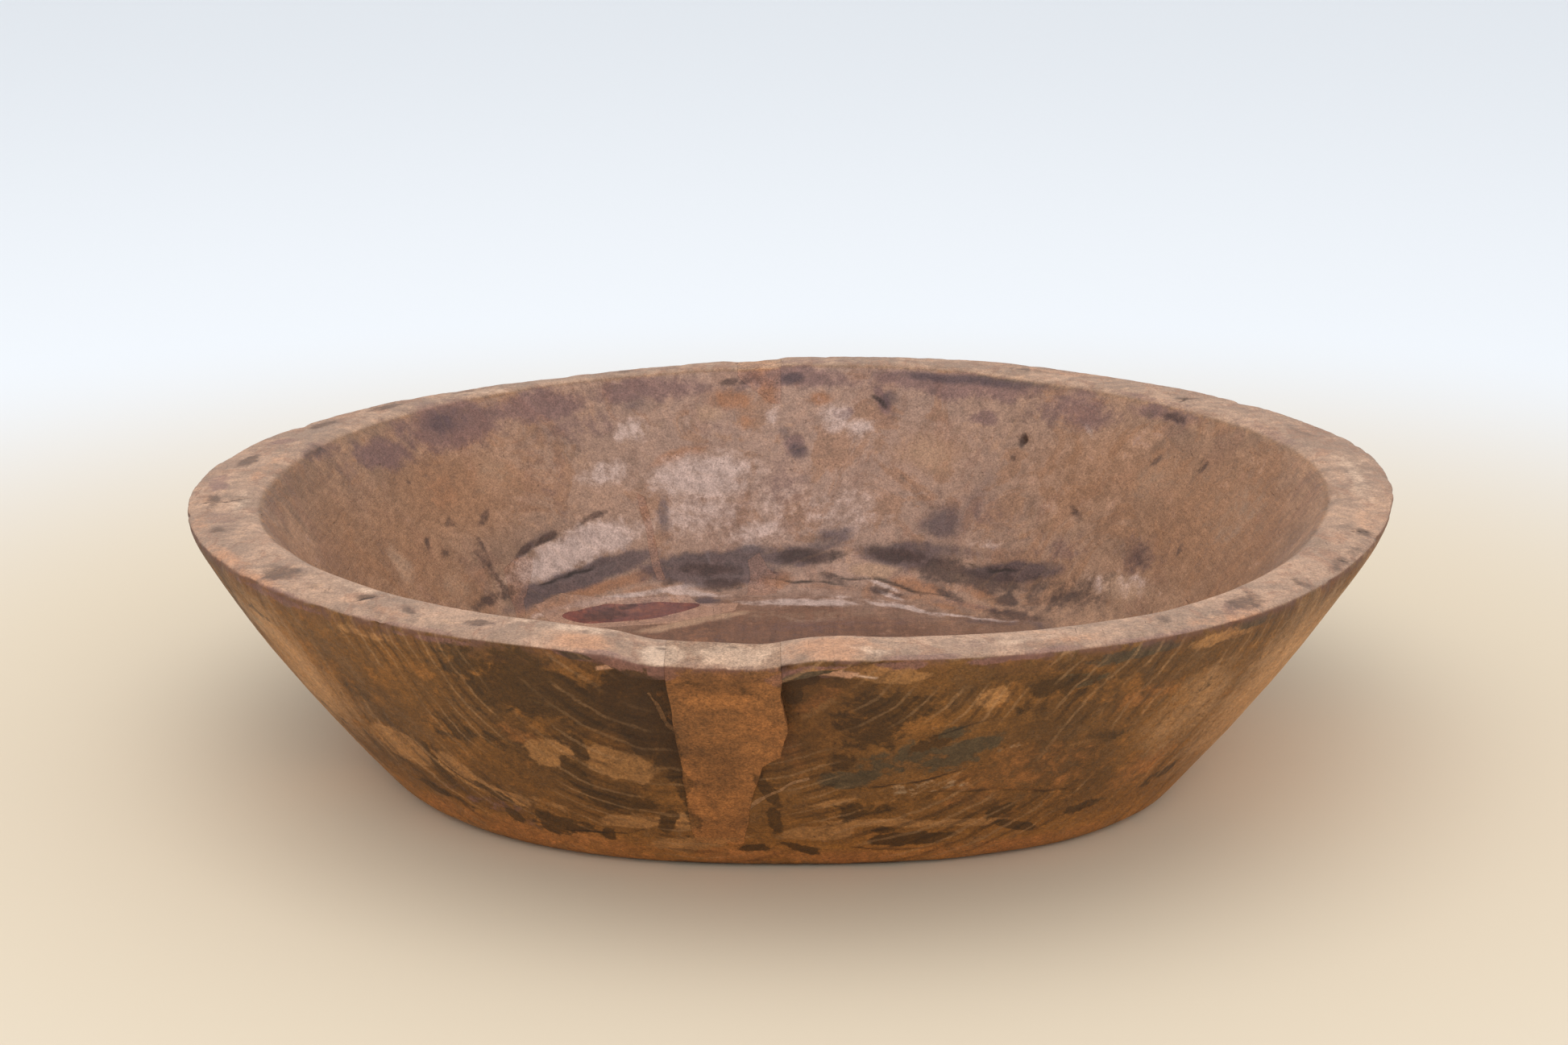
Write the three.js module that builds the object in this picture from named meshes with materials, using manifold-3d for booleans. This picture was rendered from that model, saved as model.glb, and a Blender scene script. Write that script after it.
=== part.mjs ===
// A large shallow bowl carved from one log, with its splits and its loose knot bedded in wood filler.
// Millimetres, +Z up. The origin is the middle of the foot, on the table. The front is towards -Y.
import * as THREE from "three";
import { mergeVertices } from "three/addons/utils/BufferGeometryUtils.js";
import Module from "manifold-3d";

const wasm = await Module();
wasm.setup();

// ---- Driving dimensions of the carved log ----
const lipRadius = 250; // outer edge of the rim
const lipHeight = 106.8; // outer edge of the rim above the table
const rimWidth = 27.3; // flat top of the wall, measured level
const rimRise = 1.3; // inner edge of the rim above its outer edge
const footRadius = 173; // edge of the flat underside
const footRounding = 5; // worn edge of the underside
const wallBulge = 4; // belly of the outside between foot and lip
const lipRounding = 2.5; // worn outer and inner edges of the rim
const floorThickness = 16; // wood left under the hollow
const hollowRadius = 150; // where the inside wall would meet the floor without its fillet
const floorFillet = 38; // gouged curve between the inside wall and the floor

// The bowl was shaped by hand, so its outlines wander. Each entry is one wave round the bowl:
// the first has one lobe, the second two and so on, as [swing in mm, bearing of its crest in degrees].
const lipWander = [[1.2, 44], [2.1, 139], [2.1, 146], [0.9, 63], [1.8, 66]];
const rimWidthWander = [[0.7, 29], [4.1, 55], [3.6, 132], [1.2, -78], [0.7, 91]];
const heightWander = [[0.5, 12], [1.5, 91], [0.2, 142], [0.4, -29], [0.5, -20]];
const footWander = [[2.3, 161], [1.2, 4], [1.8, -141], [1.5, 141], [2.7, 108]];

// ---- Driving dimensions of the repairs ----
const glueLine = 0.3; // gap between a filling and the wood round it
const fillSink = 1.5; // a filling shrinks below the rim as it dries
const clear = 40; // how far a cutting shape stands out of the wood

const frontSplitFoot = 14; // lower end of the front split above the table
const frontSplitTopLeft = -43.5; // its two edges at the lip, level with the table
const frontSplitTopRight = -4.6;
const frontSplitFootLeft = -36.5; // and at its lower end
const frontSplitFootRight = -18.5;
const frontSplitShoulder = 14; // how far below the lip its edges stand straight up

const rearSplitDepth = 14; // how far the rear split runs down from the rim
const rearSplitLeft = -26;
const rearSplitRight = -4.8;
const rearSplitTipLeft = -10; // left edge of its lower end
const rearSplitShoulder = 3;

const inlayDepth = 8; // how deep the fillings sit in the inside wall
const leftCrackHeight = 68; // where the filled hairline cracks leave the front split
const rightCrackHeight = 36;
const crackDepth = 6; // how deep the hairline cracks on the outside were raked out
const crackWidth = 2.2; // a raked crack where it starts
const crackTipWidth = 1.4; // and where it runs out
const knotDepth = 10; // socket of the loose knot below the floor
const knotLength = 60;
const knotBreadth = 23;
const knotBearing = 123.5; // where the knot lies, as a bearing round the bowl
const knotReach = 6; // and how far up from the edge of the flat floor
const knotSkew = 13; // turn of the knot's length from the line of the wall
const knotOffset = -5; // middle of the knot from the middle of its filling

// ---- Fineness of the faceted surface ----
const turnSteps = 96;
const wallSteps = 7;
const filletSteps = 6;
const roundingSteps = 3;

const degree = Math.PI / 180;

function wander(waves, angle) {
  const swings = waves.map(([swing, crest], i) => swing * Math.cos((i + 1) * angle - crest * degree));
  return swings.reduce((sum, swing) => sum + swing, 0);
}

// ---- Where the wood's surfaces lie, at one bearing round the bowl ----

function outerLip(angle) {
  return new THREE.Vector2(lipRadius + wander(lipWander, angle), lipHeight + wander(heightWander, angle));
}

function innerLip(angle) {
  const outer = outerLip(angle);
  return new THREE.Vector2(outer.x - rimWidth - wander(rimWidthWander, angle), outer.y + rimRise);
}

function footEdge(angle) {
  return footRadius + wander(footWander, angle);
}

// The outside wall at a share of its height, 0 at the foot and 1 at the lip.
function outsideAt(angle, share) {
  const lip = outerLip(angle);
  const foot = footEdge(angle);
  const reach = THREE.MathUtils.lerp(foot, lip.x, share) + wallBulge * Math.sin(Math.PI * share);
  return new THREE.Vector2(reach, lip.y * share);
}

// The inside wall is straight down from the lip, then a fillet, then the flat floor.
function insideShape(angle) {
  const lip = innerLip(angle);
  const corner = new THREE.Vector2(hollowRadius + wander(footWander, angle), floorThickness);
  const slope = Math.atan2(lip.y - corner.y, lip.x - corner.x);
  const tangent = floorFillet * Math.tan(slope / 2);
  const wallEnd = corner.clone().add(new THREE.Vector2(tangent, 0).rotateAround(new THREE.Vector2(), slope));
  return { lip, slope, wallEnd, floorEdge: corner.x - tangent, filletLength: floorFillet * slope };
}

// A point on the inside, measured up the surface from the edge of the flat floor.
function insideAt(angle, distance) {
  const { slope, wallEnd, floorEdge, filletLength } = insideShape(angle);
  if (distance <= 0) {
    return { at: new THREE.Vector2(floorEdge + distance, floorThickness), tilt: 0 };
  }
  if (distance < filletLength) {
    const tilt = distance / floorFillet;
    const across = floorEdge + floorFillet * Math.sin(tilt);
    return { at: new THREE.Vector2(across, floorThickness + floorFillet * (1 - Math.cos(tilt))), tilt };
  }
  const up = new THREE.Vector2(distance - filletLength, 0).rotateAround(new THREE.Vector2(), slope);
  return { at: wallEnd.clone().add(up), tilt: slope };
}

// A worn corner: a short curve that leaves one side and joins the other.
function wornCorner(before, corner, after, size) {
  const start = corner.clone().add(before.clone().sub(corner).setLength(size));
  const end = corner.clone().add(after.clone().sub(corner).setLength(size));
  return new THREE.QuadraticBezierCurve(start, corner, end).getPoints(roundingSteps);
}

function section(angle) {
  const foot = new THREE.Vector2(footEdge(angle), 0);
  const outer = outerLip(angle);
  const inner = innerLip(angle);
  const { wallEnd, slope } = insideShape(angle);
  const axis = new THREE.Vector2(0, 0);
  const points = wornCorner(axis, foot, outsideAt(angle, 1 / wallSteps), footRounding);
  for (let i = 1; i < wallSteps; i++) {
    points.push(outsideAt(angle, i / wallSteps));
  }
  points.push(...wornCorner(outsideAt(angle, 1 - 1 / wallSteps), outer, inner, lipRounding));
  points.push(...wornCorner(outer, inner, wallEnd, lipRounding));
  for (let i = 1; i <= wallSteps; i++) {
    points.push(inner.clone().lerp(wallEnd, i / wallSteps));
  }
  for (let i = filletSteps - 1; i >= 0; i--) {
    points.push(insideAt(angle, (floorFillet * slope * i) / filletSteps).at);
  }
  return points;
}

// ---- Solids ----

function toSolid(geometry) {
  geometry.deleteAttribute("normal");
  geometry.deleteAttribute("uv");
  const merged = mergeVertices(geometry, 1e-5);
  return new wasm.Manifold(new wasm.Mesh({
    numProp: 3,
    vertProperties: new Float32Array(merged.attributes.position.array),
    triVerts: new Uint32Array(merged.index.array),
  }));
}

function toGeometry(solid) {
  const mesh = solid.getMesh();
  const geometry = new THREE.BufferGeometry();
  geometry.setAttribute("position", new THREE.BufferAttribute(new Float32Array(mesh.vertProperties), 3));
  geometry.setIndex(new THREE.BufferAttribute(new Uint32Array(mesh.triVerts), 1));
  geometry.computeVertexNormals();
  return geometry;
}

// The whole carved log before any split opened: a skin of sections, closed at the axis below and above.
function carvedLog() {
  const positions = [0, 0, 0];
  let ring = 0;
  for (let turn = 0; turn < turnSteps; turn++) {
    const angle = (turn / turnSteps) * 2 * Math.PI;
    const points = section(angle);
    ring = points.length;
    for (const point of points) {
      positions.push(point.x * Math.cos(angle), point.x * Math.sin(angle), point.y);
    }
  }
  positions.push(0, 0, floorThickness);
  const floorCentre = positions.length / 3 - 1;
  const faces = [];
  for (let turn = 0; turn < turnSteps; turn++) {
    const here = 1 + turn * ring;
    const next = 1 + ((turn + 1) % turnSteps) * ring;
    faces.push(0, next, here);
    for (let i = 0; i < ring - 1; i++) {
      faces.push(here + i, next + i, next + i + 1);
      faces.push(here + i, next + i + 1, here + i + 1);
    }
    faces.push(here + ring - 1, next + ring - 1, floorCentre);
  }
  const geometry = new THREE.BufferGeometry();
  geometry.setAttribute("position", new THREE.BufferAttribute(new Float32Array(positions), 3));
  geometry.setIndex(faces);
  return toSolid(geometry);
}

// The outline drawn in by a distance all the way round.
function drawnIn(outline, distance) {
  const turnSign = Math.sign(THREE.ShapeUtils.area(outline));
  const inward = outline.map((point, i) => {
    const along = outline[(i + 1) % outline.length].clone().sub(point).normalize();
    return new THREE.Vector2(-along.y, along.x).multiplyScalar(turnSign);
  });
  return outline.map((point, i) => {
    const before = inward[(i + outline.length - 1) % outline.length];
    const after = inward[i];
    const middle = before.clone().add(after);
    return point.clone().add(middle.multiplyScalar((2 * distance) / middle.lengthSq()));
  });
}

// A straight-sided cutting shape: an outline in the frame's own x and y, from low to high along its z.
function prism(outline, low, high, frame) {
  const settings = { depth: high - low, bevelEnabled: false };
  const geometry = new THREE.ExtrudeGeometry(new THREE.Shape(outline), settings);
  geometry.translate(0, 0, low);
  geometry.applyMatrix4(frame);
  return toSolid(geometry);
}

// A hollow to cut and the filling that goes in it, a glue line smaller at the sides and the bottom.
function repair(outline, depth, frame) {
  return {
    hollow: prism(outline, -depth, clear, frame),
    filling: prism(drawnIn(outline, glueLine), glueLine - depth, clear, frame),
  };
}

// ---- Frames: x runs round the bowl, y up the surface, z out of the wood ----

function frameAt(angle, point, tilt, outwards) {
  const around = new THREE.Vector3(-Math.sin(angle), Math.cos(angle), 0).multiplyScalar(outwards);
  const radial = new THREE.Vector3(Math.cos(angle), Math.sin(angle), 0);
  const up = radial.clone().multiplyScalar(Math.cos(tilt)).add(new THREE.Vector3(0, 0, Math.sin(tilt)));
  const out = around.clone().cross(up);
  const frame = new THREE.Matrix4().makeBasis(around, up, out);
  return frame.setPosition(radial.multiplyScalar(point.x).add(new THREE.Vector3(0, 0, point.y)));
}

function onInside(bearing, distance) {
  const angle = bearing * degree;
  const { at, tilt } = insideAt(angle, distance);
  return frameAt(angle, at, tilt, -1);
}

function onOutside(bearing, height) {
  const angle = bearing * degree;
  const share = height / outerLip(angle).y;
  const step = 0.02;
  const along = outsideAt(angle, share + step).sub(outsideAt(angle, share - step));
  return frameAt(angle, outsideAt(angle, share), along.angle(), 1);
}

const points = (pairs) => pairs.map(([x, y]) => new THREE.Vector2(x, y));

// Looking at the bowl from the front: x to the right, y up, z towards the viewer.
const fromTheFront = new THREE.Matrix4().makeBasis(
  new THREE.Vector3(1, 0, 0),
  new THREE.Vector3(0, 0, 1),
  new THREE.Vector3(0, -1, 0),
);

// ---- The repairs ----

// The log's main check opened at the front from the lip nearly to the foot, right through the wall.
// Its left edge is nearly straight. Its right edge bulges at mid height and then draws in.
function frontSplitOutline(top) {
  const shoulder = lipHeight - frontSplitShoulder;
  const tall = shoulder - frontSplitFoot;
  return points([
    [frontSplitFootLeft, frontSplitFoot],
    [frontSplitFootRight, frontSplitFoot],
    [frontSplitFootRight + 3.5, frontSplitFoot + tall * 0.33],
    [frontSplitFootRight + 7, frontSplitFoot + tall * 0.54],
    [frontSplitTopRight, frontSplitFoot + tall * 0.61],
    [frontSplitTopRight + 2, frontSplitFoot + tall * 0.76],
    [frontSplitTopRight, shoulder],
    [frontSplitTopRight, top],
    [frontSplitTopLeft, top],
    [frontSplitTopLeft, shoulder],
  ]);
}

function frontWallRepair() {
  const inner = hollowRadius - inlayDepth;
  const outer = lipRadius + clear;
  const top = outerLip(-90 * degree).y - fillSink + glueLine;
  const paste = drawnIn(frontSplitOutline(top), glueLine);
  return {
    hollow: prism(frontSplitOutline(lipHeight + clear), inner, outer, fromTheFront),
    filling: prism(paste, inner + glueLine, outer, fromTheFront),
  };
}

// The same check shows again in the rim opposite, as a short wedge with one upright side.
function rearRimRepair() {
  const rim = outerLip(90 * degree).y;
  const outline = (top) => points([
    [rearSplitTipLeft, rim - rearSplitDepth],
    [rearSplitRight, rim - rearSplitDepth],
    [rearSplitRight, top],
    [rearSplitLeft, top],
    [rearSplitLeft, rim - rearSplitShoulder],
  ]);
  const near = -lipRadius - clear;
  const far = -hollowRadius;
  return {
    hollow: prism(outline(rim + rimRise + clear / 4), near, far, fromTheFront),
    filling: prism(drawnIn(outline(rim + rimRise - fillSink + glueLine), glueLine), near, far, fromTheFront),
  };
}

// A narrow straight crack that runs up the inside wall.
function insideStreakRepair() {
  const outline = points([[-2.2, -23], [2.4, -23], [4.4, 22], [0.8, 25]]);
  return repair(outline, inlayDepth, onInside(113.6, 46));
}

// A leaning wedge low on the inside wall, wide above and pointed below.
function insideWedgeRepair() {
  const outline = points([[-10.5, -12], [-5.5, -13], [1, -5], [15, 8], [19, 14], [8, 16], [-1, 13], [-5, 0]]);
  return repair(outline, inlayDepth, onInside(141.5, 33));
}

// A patch where the rear of the wall curves into the floor, in line with both splits.
function rearFootRepair() {
  const foot = [[-7.5, -10], [0, -12], [7, -10], [8, 6]];
  const outline = points([...foot, [4.5, 10], [1.5, 18], [-5, 14], [-4.5, 3]]);
  return repair(outline, inlayDepth, onInside(95.8, 15));
}

// The floor filling is bedded round a loose oval knot. Both are cut straight down from above.
// Their frame's x runs along the knot, a little askew to the wall.
function floorFrame() {
  const bearing = knotBearing * degree;
  const reach = insideAt(bearing, knotReach).at.x;
  const frame = new THREE.Matrix4().makeRotationZ(bearing - 90 * degree - knotSkew * degree);
  return frame.setPosition(reach * Math.cos(bearing), reach * Math.sin(bearing), floorThickness);
}

function floorRepair() {
  const towardsTheMiddle = [[-46, 0], [-38, -18], [10, -27], [46, -19], [52, -8], [34, -1]];
  const outline = points([...towardsTheMiddle, [33, 10], [0, 11], [-30, 9]]);
  return repair(outline, inlayDepth, floorFrame());
}

function knotRepair() {
  const turns = 27;
  const oval = new THREE.EllipseCurve(0, knotOffset, knotLength / 2, knotBreadth / 2);
  return repair(oval.getPoints(turns).slice(0, -1), knotDepth, floorFrame());
}

// A hairline crack on the outside, raked out and filled. Its course is a curve on the wall that
// starts at the split's edge.
function crackRepair(course, frame) {
  const curve = new THREE.SplineCurve(points(course));
  const steps = 10;
  const band = (gap) => {
    const left = [];
    const right = [];
    for (let i = 0; i <= steps; i++) {
      const share = gap / curve.getLength() + (i / steps) * (1 - (2 * gap) / curve.getLength());
      const along = curve.getTangentAt(share);
      const side = new THREE.Vector2(-along.y, along.x);
      side.multiplyScalar(THREE.MathUtils.lerp(crackWidth, crackTipWidth, share) / 2 - gap);
      left.push(curve.getPointAt(share).add(side));
      right.push(curve.getPointAt(share).sub(side));
    }
    return [...right, ...left.reverse()];
  };
  return {
    hollow: prism(band(0), -crackDepth, clear, frame),
    filling: prism(band(glueLine), glueLine - crackDepth, clear, frame),
  };
}

// The frame on the outside wall where an edge of the front split passes a height.
function besideFrontSplit(edge, height) {
  const reach = outsideAt(-90 * degree, height / lipHeight).x;
  return onOutside(-90 + Math.asin(edge / reach) / degree, height);
}

function leftCrackRepair() {
  const rise = (leftCrackHeight - frontSplitFoot) / (lipHeight - frontSplitShoulder - frontSplitFoot);
  const edge = THREE.MathUtils.lerp(frontSplitFootLeft, frontSplitTopLeft, rise);
  const course = [[1.5, -1.5], [-1.9, 1], [-4.1, 5], [-5.8, 13.7], [-8, 20.6]];
  return crackRepair(course, besideFrontSplit(edge, leftCrackHeight));
}

function rightCrackRepair() {
  const course = [[-1.5, -2], [2.5, 3.5], [6.5, 7.3], [11, 10.5], [15, 14.5], [21.5, 17.2]];
  return crackRepair(course, besideFrontSplit(frontSplitFootRight + 3, rightCrackHeight));
}

// ---- Materials ----

const brownWood = 0x7d5638;
const redWood = 0x5c2a1e;
const brownPaste = 0x8a5a36;
const warmPaste = 0x9a6238;
const palePaste = 0xa87a58;

function wood(colour) {
  return new THREE.MeshStandardMaterial({ color: colour, roughness: 0.62, metalness: 0 });
}

function filler(colour) {
  return new THREE.MeshStandardMaterial({ color: colour, roughness: 0.85, metalness: 0 });
}

// ---- Assembly ----

// The log is rarely quite central under its rim, so the bowl is set by the middle of its outline.
function centred(solid) {
  const { min, max } = solid.boundingBox();
  return new THREE.Vector3(-(min[0] + max[0]) / 2, -(min[1] + max[1]) / 2, 0);
}

const bowl = new THREE.Group();

function add(name, solid, material) {
  const mesh = new THREE.Mesh(toGeometry(solid), material);
  mesh.name = name;
  bowl.add(mesh);
}

const log = carvedLog();
bowl.position.copy(centred(log));

// In the order they were filled: a filling ends where a later repair was cut into it.
const repairs = [
  { name: "left_crack_fill", ...leftCrackRepair(), material: filler(palePaste) },
  { name: "right_crack_fill", ...rightCrackRepair(), material: filler(palePaste) },
  { name: "front_wall_fill", ...frontWallRepair(), material: filler(brownPaste) },
  { name: "rear_rim_fill", ...rearRimRepair(), material: filler(warmPaste) },
  { name: "floor_fill", ...floorRepair(), material: filler(palePaste) },
  { name: "rear_foot_fill", ...rearFootRepair(), material: filler(warmPaste) },
  { name: "inside_streak_fill", ...insideStreakRepair(), material: filler(warmPaste) },
  { name: "inside_wedge_fill", ...insideWedgeRepair(), material: filler(palePaste) },
  { name: "floor_knot", ...knotRepair(), material: wood(redWood) },
];

add("bowl_body", repairs.reduce((left, repair) => left.subtract(repair.hollow), log), wood(brownWood));
repairs.forEach(({ name, filling, material }, i) => {
  const seated = filling.intersect(log);
  add(name, repairs.slice(i + 1).reduce((left, later) => left.subtract(later.hollow), seated), material);
});

export default bowl;
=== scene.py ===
import math

import bpy
import numpy as np
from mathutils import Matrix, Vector


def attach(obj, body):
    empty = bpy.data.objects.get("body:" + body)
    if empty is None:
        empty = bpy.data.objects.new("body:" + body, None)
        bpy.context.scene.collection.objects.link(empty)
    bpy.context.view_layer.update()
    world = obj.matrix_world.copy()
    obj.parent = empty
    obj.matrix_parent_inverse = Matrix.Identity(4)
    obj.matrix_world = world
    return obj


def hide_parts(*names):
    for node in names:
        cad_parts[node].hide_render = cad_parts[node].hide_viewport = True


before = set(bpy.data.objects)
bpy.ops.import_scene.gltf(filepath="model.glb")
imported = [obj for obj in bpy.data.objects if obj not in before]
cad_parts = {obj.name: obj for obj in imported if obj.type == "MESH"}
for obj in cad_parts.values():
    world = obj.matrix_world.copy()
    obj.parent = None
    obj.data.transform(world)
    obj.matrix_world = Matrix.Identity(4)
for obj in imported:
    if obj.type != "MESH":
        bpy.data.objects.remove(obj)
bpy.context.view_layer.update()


# ---------------------------------------------------------------------------
# The viewpoint: a camera just above the table, looking slightly down across
# the near lip into the bowl, so the front mend and the far wall both show.
# It stands for the eye; it is not part of the object.
# ---------------------------------------------------------------------------
EYE = (-0.00356, -1.14733, 0.39439)
LOOKING_DOWN = 14.947
HEAD_TILT = -0.25
camera_data = bpy.data.cameras.new("viewpoint")
camera_data.sensor_width = 36.0
camera_data.lens = 64.8
camera = bpy.data.objects.new("viewpoint", camera_data)
bpy.context.collection.objects.link(camera)
camera.location = EYE
camera.rotation_euler = (math.radians(90 - LOOKING_DOWN), 0.0, 0.0)
camera.rotation_euler.rotate_axis("Z", math.radians(HEAD_TILT))
bpy.context.scene.camera = camera


# ---------------------------------------------------------------------------
# The bowl: one piece hewn from half a log, its grain running front to back.
# The wood is old, dry and waxed, with a broad flat lip, checks in its grain
# and dark stains. Sizes are in millimetres until a mesh is written.
# ---------------------------------------------------------------------------
MM = 0.001
LIP_RADIUS = 251.5
LIP_HEIGHT = 106.8
RIM_WIDTH = 28.3
RIM_RISE = 1.3
FOOT_RADIUS = 173.0
WALL_BULGE = 4.0
FLOOR_THICKNESS = 16.0
HOLLOW_RADIUS = 150.0
FLOOR_FILLET = 38.0

# How far the hand-cut outlines swing from a true circle: millimetres and the
# bearing of the crest, for one to five lobes round the bowl.
LIP_WANDER = [(1.2, 44), (1.4, 94), (2.1, 146), (0.9, 63), (1.8, 66)]
RIM_WANDER = [(0.7, 29), (4.8, 45), (3.6, 132), (1.2, -78), (0.7, 91)]
HEIGHT_WANDER = [(0.5, 12), (1.5, 91), (0.2, 142), (0.4, -29), (0.5, -20)]
FOOT_WANDER = [(2.3, 161), (1.2, 4), (1.8, -141), (1.5, 141), (2.7, 108)]


def wander(angle, lobes):
    total = np.zeros_like(angle)
    for number, (swing, crest) in enumerate(lobes, start=1):
        total = total + swing * np.cos(number * angle - math.radians(crest))
    return total


def outer_lip(angle):
    return LIP_RADIUS + wander(angle, LIP_WANDER), LIP_HEIGHT + wander(angle, HEIGHT_WANDER)


def inner_lip(angle):
    radius, height = outer_lip(angle)
    return radius - RIM_WIDTH - wander(angle, RIM_WANDER), height + RIM_RISE


def foot_edge(angle):
    return FOOT_RADIUS + wander(angle, FOOT_WANDER)


def outside_at(angle, share):
    """The outer wall, share 0 at the foot and 1 at the lip."""
    lip_radius, lip_height = outer_lip(angle)
    foot = foot_edge(angle)
    swell = WALL_BULGE * np.sin(math.pi * share)
    return foot + (lip_radius - foot) * share + swell, lip_height * share


def hollow_shape(angle):
    """Where the floor ends, where the wall begins, and the wall's slope."""
    lip_radius, lip_height = inner_lip(angle)
    corner = HOLLOW_RADIUS + wander(angle, FOOT_WANDER)
    slope = np.arctan2(lip_height - FLOOR_THICKNESS, lip_radius - corner)
    tangent = FLOOR_FILLET * np.tan(slope / 2)
    return corner - tangent, corner + tangent * np.cos(slope), slope


def inside_at(angle, climb):
    """The hollow's surface, climb millimetres up from the edge of the floor."""
    floor_edge, slope = hollow_shape(angle)[0:3:2]
    bend = np.clip(climb / FLOOR_FILLET, 0, slope)
    wall = np.maximum(climb - FLOOR_FILLET * slope, 0)
    radius = floor_edge + FLOOR_FILLET * np.sin(bend) + wall * np.cos(slope)
    height = FLOOR_THICKNESS + FLOOR_FILLET * (1 - np.cos(bend)) + wall * np.sin(slope)
    return radius + np.minimum(climb, 0), height


def full_climb(angle):
    """How far it is up the hollow from the floor's edge to the inner lip."""
    lip_radius = inner_lip(angle)[0]
    wall_radius, slope = hollow_shape(angle)[1:3]
    return FLOOR_FILLET * slope + (lip_radius - wall_radius) / np.cos(slope)


# The whole outline is centred on the frame, so its axis sits a little off.
all_round = np.radians(np.arange(0, 360, 0.5))
lip_x = outer_lip(all_round)[0] * np.cos(all_round)
lip_y = outer_lip(all_round)[0] * np.sin(all_round)
AXIS = np.array([-(lip_x.max() + lip_x.min()) / 2, -(lip_y.max() + lip_y.min()) / 2])


def eased(value, low, high):
    """0 below low, 1 above high and a smooth turn between."""
    share = np.clip((value - low) / (high - low), 0, 1)
    return share * share * (3 - 2 * share)


def lumps(points, size, seed):
    """Smooth seeded lumps about size millimetres across, from -1 to 1."""
    cell = points / size
    low = np.floor(cell).astype(np.int64)
    part = cell - low
    part = part * part * (3 - 2 * part)
    total = np.zeros(len(points))
    for corner in range(8):
        step = np.array([corner & 1, corner >> 1 & 1, corner >> 2 & 1])
        spot = low + step
        mixed = spot[:, 0] * 73856093 ^ spot[:, 1] * 19349663 ^ spot[:, 2] * 83492791
        mixed = (mixed + seed * 7919) * 668265263
        mixed = (mixed ^ mixed >> 13) * 1274126177
        value = ((mixed ^ mixed >> 16) & 65535) / 32767.5 - 1
        weight = np.where(step == 1, part, 1 - part).prod(axis=1)
        total += weight * value
    return total


def on_outside(bearing, height):
    angle = np.radians(np.asarray(bearing, float))
    share = np.asarray(height, float) / outer_lip(angle)[1]
    radius, level = outside_at(angle, share)
    return np.stack([radius * np.cos(angle), radius * np.sin(angle), level], axis=-1)


def on_inside(bearing, climb):
    angle = np.radians(np.asarray(bearing, float))
    radius, level = inside_at(angle, np.asarray(climb, float))
    return np.stack([radius * np.cos(angle), radius * np.sin(angle), level], axis=-1)


def on_rim(bearing, across):
    angle = np.radians(np.asarray(bearing, float))
    outer_radius, outer_height = outer_lip(angle)
    inner_radius, inner_height = inner_lip(angle)
    share = np.asarray(across, float)
    radius = outer_radius + (inner_radius - outer_radius) * share
    level = outer_height + (inner_height - outer_height) * share
    return np.stack([radius * np.cos(angle), radius * np.sin(angle), level], axis=-1)


# Checks and splits that are real grooves: each is a course over the surface
# with its width and depth. The outside gives bearing and height, the inside
# gives bearing and climb, the lip gives bearing and share of its width.
OUTSIDE_CHECKS = [
    ([(-118, 66), (-113.5, 57), (-109, 52), (-105.5, 43), (-103, 35)], 1.0, 0.7),
    ([(-109.5, 84), (-106.5, 73), (-104, 60), (-102.4, 46)], 0.8, 0.6),
    ([(-116, 76), (-112, 68), (-108, 62), (-105, 55)], 0.7, 0.4),
    ([(-123, 18), (-117, 15), (-110, 17), (-104, 24)], 0.8, 0.4),
    ([(-90, 62), (-86, 72), (-82, 83), (-78, 92)], 1.0, 0.6),
    ([(-90, 55), (-84, 63), (-77, 72), (-70, 84)], 0.9, 0.5),
    ([(-91, 38), (-85, 44), (-77, 49), (-70, 60)], 0.8, 0.4),
    ([(-79, 42), (-70, 41), (-64, 37), (-58, 34)], 1.0, 0.7),
    ([(-90, 18), (-84, 12), (-77, 9), (-68, 12)], 0.9, 0.5),
    ([(-128, 52), (-129.5, 42), (-127, 33), (-124, 27)], 1.1, 0.6),
    ([(-63, 78), (-56, 82), (-50, 90)], 0.8, 0.4),
    ([(35, 80), (44, 62), (50, 48), (57, 40)], 1.0, 0.7),
    ([(118, 88), (109, 62), (104, 40)], 1.1, 0.8),
    ([(150, 30), (162, 36), (176, 34), (188, 40)], 0.9, 0.5),
    ([(84, 20), (76, 42), (72, 66)], 0.9, 0.6),
]
INSIDE_CHECKS = [
    ([(74.7, 80), (72.3, 73), (70.3, 66), (67.5, 61.5), (65.2, 60)], 1.5, 1.0),
    ([(80, 121), (78, 116), (76.2, 110)], 1.8, 0.6),
    ([(140, 33), (134, 33.5), (127, 35), (118, 38)], 1.2, 0.5),
    ([(138, 50), (132, 54), (126, 58), (119, 62)], 1.2, 0.5),
    ([(96, 20), (90, 16), (84, 17), (76, 12)], 1.4, 0.7),
    ([(85, 24), (80, 19), (74, 22), (66, 15), (56, 16)], 1.4, 0.8),
    ([(60, 36), (54, 34), (47, 38)], 1.2, 0.5),
    ([(44, 72), (42, 68), (40, 64)], 1.0, 0.5),
    ([(26.5, 112), (26, 104)], 0.9, 0.5),
    ([(-100, 60), (-97, 82), (-95, 104)], 1.1, 0.6),
    ([(-60, 30), (-66, 52), (-69, 78)], 1.0, 0.5),
    ([(200, 24), (204, 52), (203, 80)], 1.0, 0.4),
]
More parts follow.
